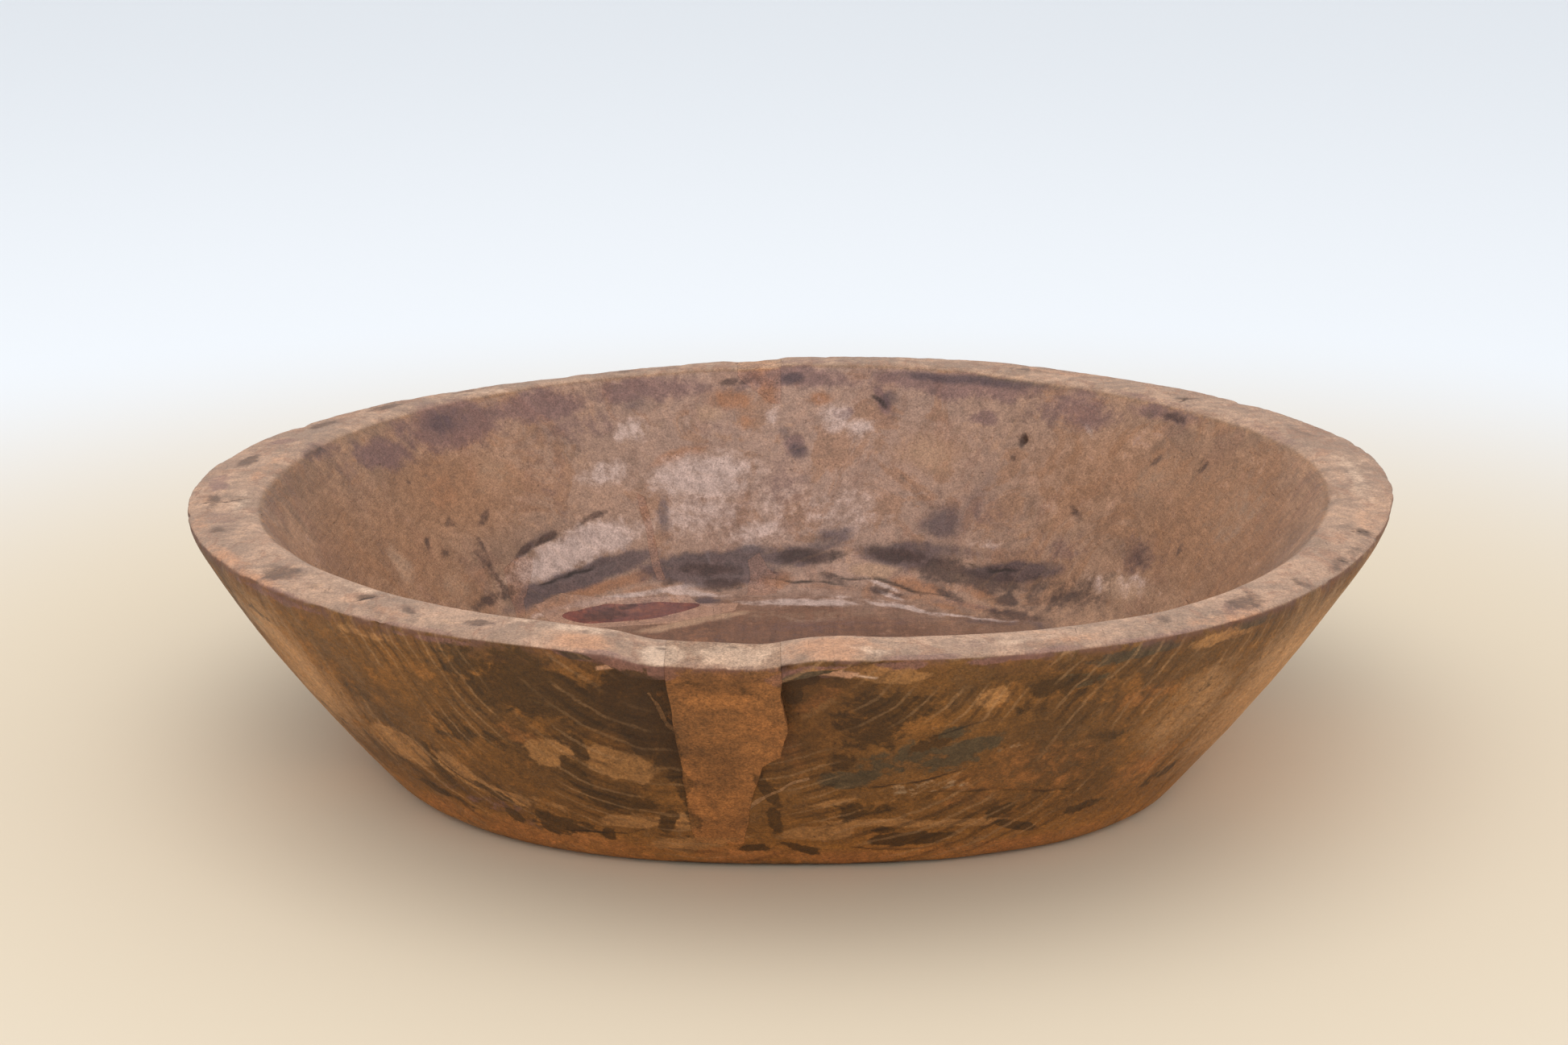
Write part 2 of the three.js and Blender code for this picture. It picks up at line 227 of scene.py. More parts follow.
RIM_CHECKS = [
    ([(-172, 0.0), (-171, 0.5), (-172.5, 1.0)], 0.9, 0.9),
    ([(-131, 0.3), (-130.6, 0.75)], 0.9, 0.6),
    ([(-21, 0.15), (-22.5, 0.55)], 0.8, 0.6),
    ([(-26, 0.1), (-26.6, 0.42)], 0.7, 0.5),
    ([(-31, 0.12), (-31.4, 0.4)], 0.7, 0.5),
    ([(-75, 0.45), (-74.6, 0.7)], 0.7, 0.5),
    ([(38.5, 0.45), (36.5, 0.9)], 1.0, 0.7),
    ([(140, 0.1), (141, 0.6)], 0.8, 0.5),
    ([(96, 0.2), (97, 0.8)], 0.8, 0.5),
]
# Bites out of the lip's outer edge: bearing, length and depth.
NIBBLES = [
    (33, 9, 2.6), (-151, 7, 1.4), (-143, 10, 1.3), (-133, 9, 1.5), (-126, 7, 2.0),
    (-117, 6, 1.3), (-62, 9, 0.9), (-52, 6, 0.9), (-36, 6, 1.0), (-22, 6, 1.1),
    (-168, 6, 1.2), (12, 7, 0.9), (62, 8, 1.1), (118, 10, 1.3), (154, 8, 1.4),
]
# Small round holes: where each is, its radius and its depth.
CORNER_HOLE = np.array([-3.6, -250.0, 104.5])
WORM_HOLES = [(on_inside(56.4, 102.5), 1.9, 3.0), (on_inside(57.0, 92.0), 1.5, 1.0),
              (CORNER_HOLE, 2.4, 3.6)]


def course_distance(points, course):
    """How far each point is from a course, and its share of the way along."""
    best = np.full(len(points), 1e9)
    along = np.zeros(len(points))
    for number in range(len(course) - 1):
        start, end = course[number], course[number + 1]
        run = end - start
        share = np.clip((points - start) @ run / (run @ run), 0, 1)
        away = np.linalg.norm(points - start - share[:, None] * run, axis=1)
        nearer = away < best
        best = np.where(nearer, away, best)
        along = np.where(nearer, (number + share) / (len(course) - 1), along)
    return best, along


def all_checks():
    for place, checks in ((on_outside, OUTSIDE_CHECKS), (on_inside, INSIDE_CHECKS),
                          (on_rim, RIM_CHECKS)):
        for course, width, depth in checks:
            ends = np.array(course, float)
            bearing = np.interp(np.linspace(0, 1, 24), np.linspace(0, 1, len(ends)), ends[:, 0])
            up = np.interp(np.linspace(0, 1, 24), np.linspace(0, 1, len(ends)), ends[:, 1])
            yield place(bearing, up), width, depth


def check_depth(points):
    """Depth of the grooves at each point, and how dark the dirt in them is."""
    wobble = np.stack([lumps(points, 6, seed) for seed in (41, 42, 43)], axis=1)
    moved = points + 0.7 * wobble
    depth = np.zeros(len(points))
    dirt = np.zeros(len(points))
    for course, width, deep in all_checks():
        low = course.min(axis=0) - 6
        high = course.max(axis=0) + 6
        near = np.nonzero(((moved > low) & (moved < high)).all(axis=1))[0]
        if not len(near):
            continue
        away, along = course_distance(moved[near], course)
        taper = np.sqrt(np.clip(4 * along * (1 - along), 0, 1))
        groove = np.exp(-(away / (width * (0.35 + 0.65 * taper))) ** 2) * taper
        depth[near] = np.maximum(depth[near], deep * groove)
        dirt[near] = np.maximum(dirt[near], groove)
    return depth, dirt


def front_dip(x, y):
    """How far the lip drops beside the front repair."""
    left = (0.5 * eased(x, -84, -66) + 2.6 * eased(x, -66, -47)) * (x < -43.6)
    right = 3.1 * (1 - eased(x, -15, 9)) * (x >= -43.6)
    swell = 0.6 * np.exp(-((x - 16) / 11) ** 2)
    return (left + right - swell) * (y < 0)


def lip_shadow(x, y, z):
    """How far the wall is worn back under the lip on both sides of the repair. The same depth also
    sets the painted shadow under the lip.
    """
    left_edge = np.interp(x, [-104, -72, -61.6, -56, -44.3], [107.5, 106, 101.5, 99, 100.3])
    left_depth = np.interp(x, [-112, -74, -60, -44, -30], [0, 1.6, 5.0, 6.0, 6.0])
    right_edge = np.interp(x, [-4.4, 3.7, 11.7, 19.8, 30.5], [99.5, 99.6, 101.4, 104.2, 107])
    right_depth = np.interp(x, [-30, -4, 10, 20, 31, 52], [5.4, 5.4, 4.4, 2.8, 1.3, 0])
    edge = np.where(x < -25, left_edge, right_edge)
    depth = np.where(x < -25, left_depth, right_depth)
    below = eased(edge - z, -0.4, 1.6) * (0.35 + 0.65 * eased(z, 40, 84)) * eased(z, 34, 60)
    return depth * below * (y < 0)


def carve(points, outward, wood=True):
    """Moves a bowl-shaped skin from its smooth outline to the hand-cut surface."""
    x, y, z = points.T
    radius = np.hypot(x, y)
    angle = np.arctan2(y, x)
    lip_radius, lip_height = outer_lip(angle)
    shift = 0.55 * lumps(points, 62, 1) + 0.32 * lumps(points, 27, 2)
    shift += 0.10 * lumps(points, 9, 3) + 0.04 * lumps(points, 3.2, 4)
    edge = np.exp(-(((radius - lip_radius) / 4.5) ** 2 + ((z - lip_height) / 5) ** 2))
    worn = np.clip(lumps(points * [1, 1, 0.4], 8, 5) + 0.1, 0, 1)
    shift -= edge * (0.6 * worn + 0.5 * np.clip(lumps(points, 3, 6), 0, 1))
    for bearing, length, depth in NIBBLES:
        offset = (np.degrees(angle) - bearing + 180) % 360 - 180
        away = np.radians(offset) * lip_radius
        ragged = 1 + 0.5 * lumps(points, 3.5, 7)
        shift -= edge * depth * ragged * np.exp(-(away / length * 2) ** 2)
    under = (z < 1.5) & (radius < FOOT_RADIUS - 6)
    hewn = 0.7 + 0.5 * lumps(points * [1, 0.4, 1], 13, 8)
    shift = np.where(under, -hewn * eased(FOOT_RADIUS - radius, 8, 24), shift)
    standing = (z < 3) & ~under
    shift = np.where(standing, np.minimum(shift, 0), shift)
    pits = np.clip(lumps(points, 2.4, 9) - 0.62, 0, 1) * np.clip(lumps(points, 30, 10) + 0.2, 0, 1)
    shift -= 1.6 * pits
    if wood:
        shift -= check_depth(points)[0]
        for place, size, depth in WORM_HOLES:
            away = np.linalg.norm(points - place, axis=1)
            shift -= depth * np.exp(-(away / size) ** 2)
        shift -= np.where(outward[:, 2] < 0.4, lip_shadow(x, y, z), 0) * (radius > 195)
    moved = points + outward * shift[:, None]
    sink = front_dip(x, y) * (np.abs(x) < 90) * eased(z, 88, 104)
    rear = 0.9 * (y > 0) * eased(x, -34, -24) * (1 - eased(x, -7, -2)) * eased(z, 95, 105)
    moved[:, 2] -= sink + rear
    return moved


# Rows of the skin from under the foot, round the lip and down to the floor.
UNDER_ROWS = 40
WALL_ROWS = 104
RIM_ROWS = 24
HOLLOW_ROWS = 82
FILLET_ROWS = 24
FLOOR_ROWS = 56


def turned_edge(before, corner, after, steps):
    """A softly rounded edge between two faces, as rows of radius and height."""
    rows = []
    for share in np.linspace(0, 1, steps + 2)[1:-1]:
        weights = ((1 - share) ** 2, 2 * share * (1 - share), share ** 2)
        rows.append(tuple(sum(w * p[i] for w, p in zip(weights, (before, corner, after)))
                          for i in (0, 1)))
    return rows


def skin_rows(angle, nearest):
    """The whole section of the bowl at each bearing, beyond the nearest radius."""
    foot = foot_edge(angle)
    rows = []
    for share in np.linspace(0, 1, UNDER_ROWS):
        rows.append((nearest + (foot - 6 - nearest) * share, np.zeros_like(angle)))
    rows += turned_edge(rows[-1], (foot, 0 * angle), outside_at(angle, 0.055), 5)
    shoulder = 0.955 - 0.055 * np.cos(angle) ** 2
    wall = [outside_at(angle, 0.055 + (shoulder - 0.055) * share)
            for share in np.linspace(0, 1, WALL_ROWS)]
    rows += wall
    outer = outer_lip(angle)
    inner = inner_lip(angle)
    rim = []
    for across in np.linspace(0.13, 0.82, RIM_ROWS):
        crown = 0.5 * math.sin(math.pi * across)
        rim.append((outer[0] + (inner[0] - outer[0]) * across,
                    outer[1] + (inner[1] - outer[1]) * across + crown))
    rows += turned_edge(wall[-1], outer, rim[0], 9)
    rows += rim
    top = full_climb(angle) - 5
    bottom = FLOOR_FILLET * hollow_shape(angle)[2]
    hollow = [inside_at(angle, top + (bottom - top) * share)
              for share in np.linspace(0, 1, HOLLOW_ROWS)]
    rows += turned_edge(rim[-1], inner, hollow[0], 7)
    rows += hollow
    for share in np.linspace(1, 0, FILLET_ROWS + 1)[1:]:
        rows.append(inside_at(angle, bottom * share))
    edge = hollow_shape(angle)[0]
    for share in np.linspace(0, 1, FLOOR_ROWS + 1)[1:]:
        rows.append((edge + (nearest - edge) * share, np.full_like(angle, FLOOR_THICKNESS)))
    return rows


def carved_grid(angle, nearest, closed, wood):
    """Carved points of the skin as rows by columns, in millimetres on the bowl's axis."""
    rows = skin_rows(angle, nearest)
    radius = np.array([row[0] for row in rows])
    height = np.array([row[1] for row in rows])
    grid = np.stack([radius * np.cos(angle), radius * np.sin(angle), height], axis=-1)
    if closed:
        sideways = np.roll(grid, -1, axis=1) - np.roll(grid, 1, axis=1)
    else:
        sideways = np.gradient(grid, axis=1)
    upward = np.gradient(grid, axis=0)
    outward = np.cross(sideways, upward)
    outward /= np.linalg.norm(outward, axis=-1, keepdims=True)
    flat = carve(grid.reshape(-1, 3), outward.reshape(-1, 3), wood)
    return flat.reshape(grid.shape)


def join_rings(faces, first, second):
    """Faces between two rings; where one has half the points, triangles step down."""
    if len(first) == len(second):
        quads = [first, np.roll(first, -1), np.roll(second, -1), second]
        faces += np.stack(quads, axis=1).tolist()
        return
    many, few = (first, second) if len(first) > len(second) else (second, first)
    start, middle, end = many[0::2], many[1::2], np.roll(many, -2)[0::2]
    near, far = few, np.roll(few, -1)
    steps = [(start, middle, near), (middle, far, near), (middle, end, far)]
    for corners in steps:
        ordered = corners if len(first) > len(second) else corners[::-1]
        faces += np.stack(ordered, axis=1).tolist()


def write_mesh(name, points, faces):
    """A mesh in metres from points in millimetres on the bowl's axis."""
    placed = (points + np.append(AXIS, 0.0)) * MM
    mesh = bpy.data.meshes.new(name)
    mesh.from_pydata(placed.tolist(), [], faces)
    mesh.update()
    made = bpy.data.objects.new(name, mesh)
    bpy.context.collection.objects.link(made)
    return made


def bowl_blank():
    """The whole bowl before its hollows are cut, closer-meshed at the front."""
    columns = 1024
    share = np.arange(columns) / columns
    angle = -math.pi / 2 + 2 * math.pi * share
    angle = angle - 0.30 * np.sin(2 * math.pi * share)
    nearest = 4.0
    grid = carved_grid(angle, nearest, True, True)
    points = []
    rings = []
    for row in grid:
        size = np.hypot(row[:, 0], row[:, 1]).mean()
        step = 1
        while size * step < 64 and step < 16:
            step *= 2
        kept = row[::step]
        rings.append(np.arange(len(points), len(points) + len(kept)))
        points.extend(kept)
    faces = []
    for first, second in zip(rings[:-1], rings[1:]):
        join_rings(faces, first, second)
    middles = [(rings[0], 0.8), (rings[-1], FLOOR_THICKNESS)]
    for ring, level in middles:
        centre = len(points)
        points.append(np.array([0.0, 0.0, level]))
        beside = np.roll(ring, -1)
        turn = (beside, ring) if ring is rings[0] else (ring, beside)
        for one, two in zip(*turn):
            faces.append([int(one), int(two), centre])
    return write_mesh("bowl_body_carved", np.array(points), faces)


bowl = bowl_blank()

# Stains, by tone. Each blot gives its bearing, its height (climb inside, or
# share of the width on the lip), its length and breadth, its tilt in degrees
# rising to the right as seen, and its strength. A few outside blots are
# painted shadow, and some golden ones partly painted sheen; they are marked below.
OUTSIDE_BLOTS = {
    "dark": [
        (-112, 88, 74, 32, -8, 0.75), (-101.7, 62, 7, 74, 4, 1.0), (-110.6, 60, 6, 13, 0, 1.0),
        (-103.8, 26, 6, 13, -20, 1.0), (-111.2, 16, 5, 7, 0, 1.0), (-123.7, 18, 7, 7, 0, 0.9),
        (-129.5, 42, 3.5, 22, 4, 0.9), (-117, 18, 28, 12, -4, 0.8), (-108, 35, 30, 8, -3, 0.8),
        (-119, 60, 14, 8, -20, 0.6), (-112, 47, 8, 20, 0, 0.7), (-104, 72, 12, 46, 8, 0.7),
        (-124, 62, 34, 14, -12, 0.55), (-136, 70, 40, 10, -18, 0.5), (-133, 22, 34, 7, -14, 0.6),
        (-141, 38, 16, 12, -30, 0.5), (-124, 30, 16, 5, -35, 0.8),
        # The first three blots on the next line are painted shadow under the overhanging lip on
        # either side of the front repair.
        (-90.3, 93, 6, 12, 0, 1.2), (-89.3, 97, 11, 5, 10, 1.1), (-103.5, 94, 26, 12, -4, 0.9),
        (-98.3, 97, 9, 6, 0, 0.5), (-93.4, 95, 9, 9, 0, 0.45), (-96, 91, 26, 3, 4, 0.4),
        (-92.8, 44, 6, 18, 30, 0.9), (-92, 28, 7, 14, 10, 0.9),
        (-83, 80, 42, 26, 18, 0.7), (-68, 90, 34, 14, 4, 0.7), (-70, 82, 16, 8, 20, 0.5),
        (-77, 16.5, 33, 8, -2, 1.0), (-89, 12, 15, 5, -24, 0.8), (-68, 28, 14, 9, 10, 0.8),
        (-65, 19, 24, 5, -18, 0.8), (-57, 23, 16, 6, 12, 0.8), (-47, 29, 26, 10, 20, 0.6),
        (-83, 34, 26, 10, 4, 0.6), (-86, 60, 16, 12, 35, 0.6), (-78, 68, 26, 9, 24, 0.55),
        (-52, 74, 34, 7, 24, 0.3), (-44, 54, 48, 10, 30, 0.25), (-38, 34, 40, 10, 30, 0.2),
        (-80, 22, 12, 4, -8, 0.8), (-94.5, 12, 14, 5, 6, 0.7),
        (-60, 62, 30, 8, 8, 0.4), (-30, 74, 50, 6, 20, 0.15),
        (-152, 50, 60, 9, -22, 0.4), (-160, 80, 50, 8, -16, 0.4), (-148, 92, 40, 6, -10, 0.4),
        (20, 60, 70, 16, 10, 0.5), (38, 30, 60, 14, -8, 0.6), (60, 84, 80, 16, 4, 0.6),
        (92, 54, 54, 34, 14, 0.7), (112, 24, 50, 12, -10, 0.7), (128, 80, 70, 14, -16, 0.55),
        (150, 56, 60, 20, -10, 0.5), (172, 28, 70, 12, 8, 0.5), (194, 76, 60, 12, 14, 0.5),
        (76, 26, 36, 10, 6, 0.8), (104, 88, 30, 10, -20, 0.7), (6, 86, 60, 10, -6, 0.4),
    ],
    "grey": [
        (-88.6, 101.2, 20, 4, 8, 1.2), (-107.5, 104.6, 12, 4, -10, 0.8),
        (-79, 59, 56, 20, 10, 0.62), (-74, 66, 22, 12, 16, 0.8), (-85, 50, 26, 10, 6, 0.8),
        (-67, 92, 26, 6, 2, 0.7), (-112, 86, 30, 16, -14, 0.5), (-76, 74, 18, 8, 26, 0.6),
        (-62, 101, 40, 6, 0, 0.8), (-49, 101, 28, 5, 0, 0.6), (-42, 48, 34, 12, 26, 0.25),
        (84, 70, 44, 18, -8, 0.8), (120, 60, 30, 14, 12, 0.7), (-174, 60, 60, 12, -10, 0.4),
        (46, 62, 40, 14, 16, 0.5), (160, 90, 40, 8, 0, 0.5),
    ],
    "tan": [
        (-134, 43, 29, 19, -6, 1.0), (-126.5, 38, 30, 11, -35, 0.9), (-122, 29, 16, 7, -20, 0.8),
        (-113.3, 58, 17, 14, -14, 1.0), (-107, 54, 28, 17, -22, 1.1), (-108, 25, 23, 8, 4, 0.9),
        (-102.4, 27, 9, 11, 30, 0.8), (-103, 13, 24, 8, 12, 0.8), (-117, 29, 16, 5, -16, 0.6),
        (-98.5, 15, 14, 5, 16, 0.6), (-84, 101, 34, 7, -4, 0.9), (-88, 84, 20, 5, 40, 0.7),
        (-73.5, 88, 12, 9, 24, 0.8), (-80, 26, 46, 5, -3, 0.9), (-71, 24, 34, 5, -6, 0.8),
        (-87, 21, 28, 8, 8, 1.0), (-52, 99, 40, 7, 0, 0.6), (-128, 101, 30, 5, 0, 0.6),
        (-62, 60, 18, 6, 0, 0.4), (-86, 38, 16, 4, 12, 0.6), (-44, 80, 20, 6, 20, 0.4),
        (30, 46, 34, 16, 8, 0.9), (68, 58, 30, 20, -12, 0.9), (100, 40, 26, 12, 16, 0.9),
        (134, 44, 36, 14, -10, 0.8), (166, 66, 30, 14, 6, 0.7), (186, 44, 34, 12, -12, 0.7),
        (-12, 60, 50, 12, 10, 0.5), (52, 92, 40, 6, 0, 0.6), (142, 98, 40, 6, 0, 0.6),
    ],
    "orange": [
        (-68, 50, 52, 26, 6, 0.42), (-72, 38, 26, 8, 4, 0.45), (-64, 7, 90, 9, 0, 0.8),
        (-84, 7, 50, 9, 0, 0.8), (-124, 9, 140, 14, 0, 0.7), (-92, 70, 10, 34, 24, 0.7),
        (-88, 88, 16, 6, 40, 0.6), (-101.3, 74, 5, 40, 6, 0.5), (-52, 40, 26, 16, 24, 0.5),
        (-58, 78, 30, 10, 10, 0.4), (-98, 8, 44, 10, 0, 0.8), (-116, 64, 18, 8, -20, 0.4),
        (24, 24, 60, 10, 0, 0.7), (96, 12, 70, 10, 0, 0.7), (150, 20, 70, 10, 0, 0.6),
        (82, 90, 34, 12, 10, 0.6), (124, 36, 30, 14, -10, 0.6), (-174, 12, 90, 10, 0, 0.6),
    ],
    "golden": [
        # The golden patches round the right-hand end of the near wall, from bearing -50 to 10, are
        # partly the wood's own tone and partly painted sheen where that end is seen at a slant.
        (-146, 66, 60, 60, 0, 0.8), (-158, 40, 60, 60, 0, 0.9), (-34, 60, 90, 70, 0, 0.9),
        (-14, 52, 150, 100, 0, 1.3), (-172, 70, 70, 60, 0, 0.7), (10, 60, 90, 50, 0, 0.6),
        (-50, 64, 50, 40, 0, 0.55), (48, 70, 60, 30, 0, 0.5), (140, 62, 70, 34, 0, 0.6),
        (178, 84, 70, 24, 0, 0.6),
    ],
    "purple": [
        (-103, 102.4, 27, 9, -6, 1.5), (-107, 104.6, 22, 5, -10, 1.3), (-95.6, 105, 42, 4, 0, 0.8),
        (-88.4, 101.4, 26, 6, 8, 1.4), (-83, 103.6, 26, 4, 6, 1.0), (-120, 104.5, 40, 2.6, 0, 0.6),
        (-140, 104.5, 60, 3.2, 0, 0.8), (-73, 105, 30, 3, 0, 0.8), (-126, 22, 60, 18, -8, 0.35),
        (66, 104, 60, 4, 0, 0.8), (104, 104, 60, 4, 0, 0.7), (150, 104, 60, 4, 0, 0.7),
    ],
    "pale": [
        (-78, 44, 44, 8, 10, 0.35), (-70, 64, 26, 8, 14, 0.3), (-150, 84, 50, 8, -14, 0.5),
        (-24, 92, 60, 10, 12, 0.5), (74, 44, 20, 6, 16, 0.5), (128, 92, 30, 5, 0, 0.5),
    ],
}
INSIDE_BLOTS = {
    "dark": [
        (136, 52, 16, 3.4, 22, 1.0), (131, 55.5, 13, 4, 18, 1.0), (121, 62, 18, 4, 12, 0.9),
        (144.5, 44, 7, 28, 8, 0.8), (147, 33, 34, 6, 4, 0.8), (153, 68, 5, 11, -30, 0.7),
        (147, 74, 9, 6, 30, 0.7), (140, 73, 15, 4, 36, 0.8), (151, 62, 10, 5, 40, 0.5),
        (127, 9, 40, 6, -2, 0.7), (143.5, 60, 4, 12, -8, 0.5), (150, 98, 4, 4, 0, 0.5),
        (87, 32, 34, 9, 6, 0.9), (72, 35, 34, 8, -6, 0.95), (62, 30, 40, 14, 2, 1.0),
        (52, 31, 50, 14, 6, 0.9), (104, 25, 36, 9, -3, 0.95),
        (48, 20, 12, 9, 20, 1.0), (54, 26, 24, 8, -16, 0.8), (37, 28, 40, 12, 12, 0.8),
        (83, 20, 16, 5, -30, 0.8), (72, 12, 26, 5, -14, 0.7), (60, 17, 34, 6, -20, 0.7),
        (44, 12, 36, 8, 6, 0.8), (43, 70, 11, 5, -36, 0.8), (27, 58, 18, 13, 0, 0.7),
        (26, 107, 3, 11, -14, 0.7), (35, 127, 16, 5, 0, 0.8), (57, 92, 4, 4, 0, 0.8),
        (56.4, 103, 5, 7, -20, 1.0), (34, 104, 4, 8, -30, 0.6), (40, 30, 60, 24, 10, 0.5),
        (103, 15, 26, 9, 0, 1.0), (97, 128, 22, 5, 0, 0.7), (112, 21, 12, 4, 10, 0.6),
        (20, 70, 20, 8, 30, 0.3), (8, 128, 20, 6, 0, 0.4), (164, 126, 30, 6, 0, 0.5),
        (-30, 60, 30, 10, 20, 0.6), (-55, 90, 26, 10, -20, 0.6), (-80, 40, 40, 10, 10, 0.7),
        (-104, 88, 12, 36, 0, 0.7), (-130, 60, 34, 10, -14, 0.6), (-160, 34, 40, 10, 0, 0.6),
        (-92, 110, 40, 8, 0, 0.6), (-20, 20, 60, 8, 0, 0.6), (200, 100, 30, 8, 10, 0.5),
        (-118, 22, 50, 8, 4, 0.6), (-64, 18, 40, 8, -6, 0.6),
    ],
    "grey": [
        (128, 32, 84, 10, 8, 1.3), (138.5, 29, 20, 9, 6, 1.0), (119, 36, 30, 6, 8, 0.9),
        (105, 28, 62, 17, 0, 1.3), (98, 33, 30, 11, 0, 1.0), (90, 31, 34, 13, 8, 0.9),
        (71, 35, 44, 13, -5, 0.9), (110.5, 56, 8, 26, -10, 0.6),
        (101, 22, 44, 16, 0, 1.2), (50, 36, 44, 9, 10, 1.2), (65, 54, 26, 19, 10, 0.8),
        (60, 72, 12, 30, -6, 0.5), (90, 127, 15, 7, 0, 0.8), (67, 131, 100, 6, 0, 0.8),
        (84, 41, 30, 11, 24, 0.7), (66, 40, 60, 9, 4, 0.7), (110.5, 118, 20, 12, 20, 0.55),
        (45, 40, 26, 7, 14, 0.7), (89, 88, 10, 9, -30, 0.8), (91, 98, 9, 12, 20, 0.6),
        (134, 54, 36, 5, 20, 0.6), (138, 123, 34, 15, 0, 0.6), (30, 60, 22, 16, 0, 0.4),
        (77, 116, 9, 12, -60, 0.7), (118, 44, 20, 8, 0, 0.4), (-90, 60, 40, 20, 0, 0.5),
        (-44, 34, 50, 9, 0, 0.6), (-140, 30, 50, 9, 0, 0.6), (-112, 124, 60, 8, 0, 0.5),
    ],
    "purple": [
        (138, 120, 60, 26, 0, 1.1), (152, 116, 36, 16, -6, 1.0), (124, 124, 60, 16, 0, 1.0),
        (108, 126, 60, 14, 0, 0.9), (90, 128, 60, 12, 0, 0.9), (68, 128, 90, 13, 0, 1.0),
        (50, 122, 50, 18, 0, 0.8), (36, 128, 50, 9, 0, 0.7), (164, 126, 40, 10, 0, 0.6),
        (77.8, 116, 16, 5.5, -62, 1.2), (83, 108.5, 9, 7, 20, 1.0), (89.5, 90, 13, 12, -20, 0.8),
        (63, 111, 16, 8, 0, 0.7), (91, 72, 22, 30, 0, 0.45), (126, 78, 20, 36, 0, 0.4),
        (62, 62, 40, 26, 0, 0.4), (27, 58, 22, 18, 0, 0.6), (118, 112, 40, 20, 0, 0.5),
        (45, 50, 40, 16, 0, 0.4), (100, 102, 30, 10, 0, 0.3), (160, 112, 30, 12, 0, 0.4),
        (-60, 124, 90, 10, 0, 0.6), (-120, 118, 90, 12, 0, 0.6), (-150, 124, 60, 9, 0, 0.5),
    ],
    "pale": [
        (127, 46, 74, 19, 11, 1.05), (133, 42, 40, 8, 12, 1.1), (120, 47, 28, 12, 8, 1.0),
        (112, 104, 18, 13, 0, 0.6), (103, 76, 56, 26, 0, 0.8), (117, 84, 30, 12, 10, 0.7),
        (84, 106, 14, 16, 20, 0.7), (81, 101, 14, 9, 0, 0.8), (93, 108, 11, 13, 0, 0.65),
        (104, 55, 50, 24, 0, 0.6), (122, 17, 90, 4.5, -1, 0.9), (96, 45, 30, 12, 0, 0.6),
        (73, 17.5, 18, 3.6, -22, 1.0), (71, 10, 18, 3, -24, 0.9), (96.5, 38, 14, 8, 0, 0.7),
        (84, 56, 50, 26, 0, 0.5), (28, 43, 44, 13, 8, 0.6), (47, 113, 10, 4, -40, 0.7),
        (57, 47, 20, 6, 0, 0.4), (104, 33, 2, 7, 0, 0.8), (-70, 70, 40, 20, 0, 0.4),
        (-128, 96, 40, 16, 0, 0.4), (90, 62, 60, 20, 0, 0.4), (77, 3, 40, 5, 0, 0.5),
    ],
    "tan": [
        (76, 26, 21, 9, 4, 1.0), (59, 28, 10, 5, 10, 0.8), (110, 104, 26, 8, 20, 0.4),
        (162, 64, 12, 20, -6, 0.7), (135, 92, 30, 22, 0, 0.5), (26, 42, 34, 12, 6, 0.8),
        (101, 110, 18, 10, 10, 0.6), (70, 92, 34, 26, 0, 0.5), (134, 68, 14, 6, 20, 0.4),
        (14, 100, 60, 34, 0, 0.5), (30, 96, 50, 30, 0, 0.4), (154, 44, 26, 12, 20, 0.5),
        (-40, 90, 50, 20, 0, 0.5), (-100, 66, 12, 30, 0, 0.5), (-155, 90, 50, 24, 0, 0.5),
    ],
    "orange": [
        (125, 25, 82, 6, 6, 1.1), (116, 27, 26, 6, 4, 1.0), (107, 88, 25, 6, 22, 0.9),
        (103, 92, 12, 6, 10, 0.7), (98, 118, 18, 12, 0, 1.0), (93, 121, 8, 12, 0, 1.0),
        (86, 117, 12, 7, 0, 0.9), (92.5, 16, 11, 14, 0, 0.9), (66, 18, 34, 9, -8, 0.9),
        (54, 22, 26, 7, -10, 0.7), (96, 105, 8, 8, 0, 0.6), (98, 73, 8, 5, 0, 0.8),
        (118, 20, 20, 5, 0, 0.7), (94, 132, 9, 6, 0, 1.0), (80, 12, 60, 6, 0, 0.5),
        (60, 10, 60, 7, 0, 0.6), (34, 90, 30, 14, 0, 0.3), (145, 90, 26, 14, 30, 0.5),
        (-98, 80, 5, 60, 0, 0.7), (-60, 50, 24, 9, 10, 0.5), (-135, 80, 24, 9, 0, 0.5),
    ],
    "golden": [
        (143, 88, 84, 46, 0, 1.0), (158, 70, 60, 60, 0, 0.8), (172, 80, 80, 70, 0, 0.8),
        (40, 92, 90, 44, 0, 0.7), (18, 86, 110, 70, 0, 0.9), (-4, 80, 90, 80, 0, 0.9),
        (70, 92, 40, 30, 0, 0.6), (47, 80, 30, 50, 0, 0.4), (-30, 76, 90, 80, 0, 0.7),
        (-58, 76, 70, 60, 0, 0.5), (192, 78, 80, 70, 0, 0.8), (-140, 76, 90, 60, 0, 0.6),
        (30, 60, 50, 30, 0, 0.4),
    ],
}
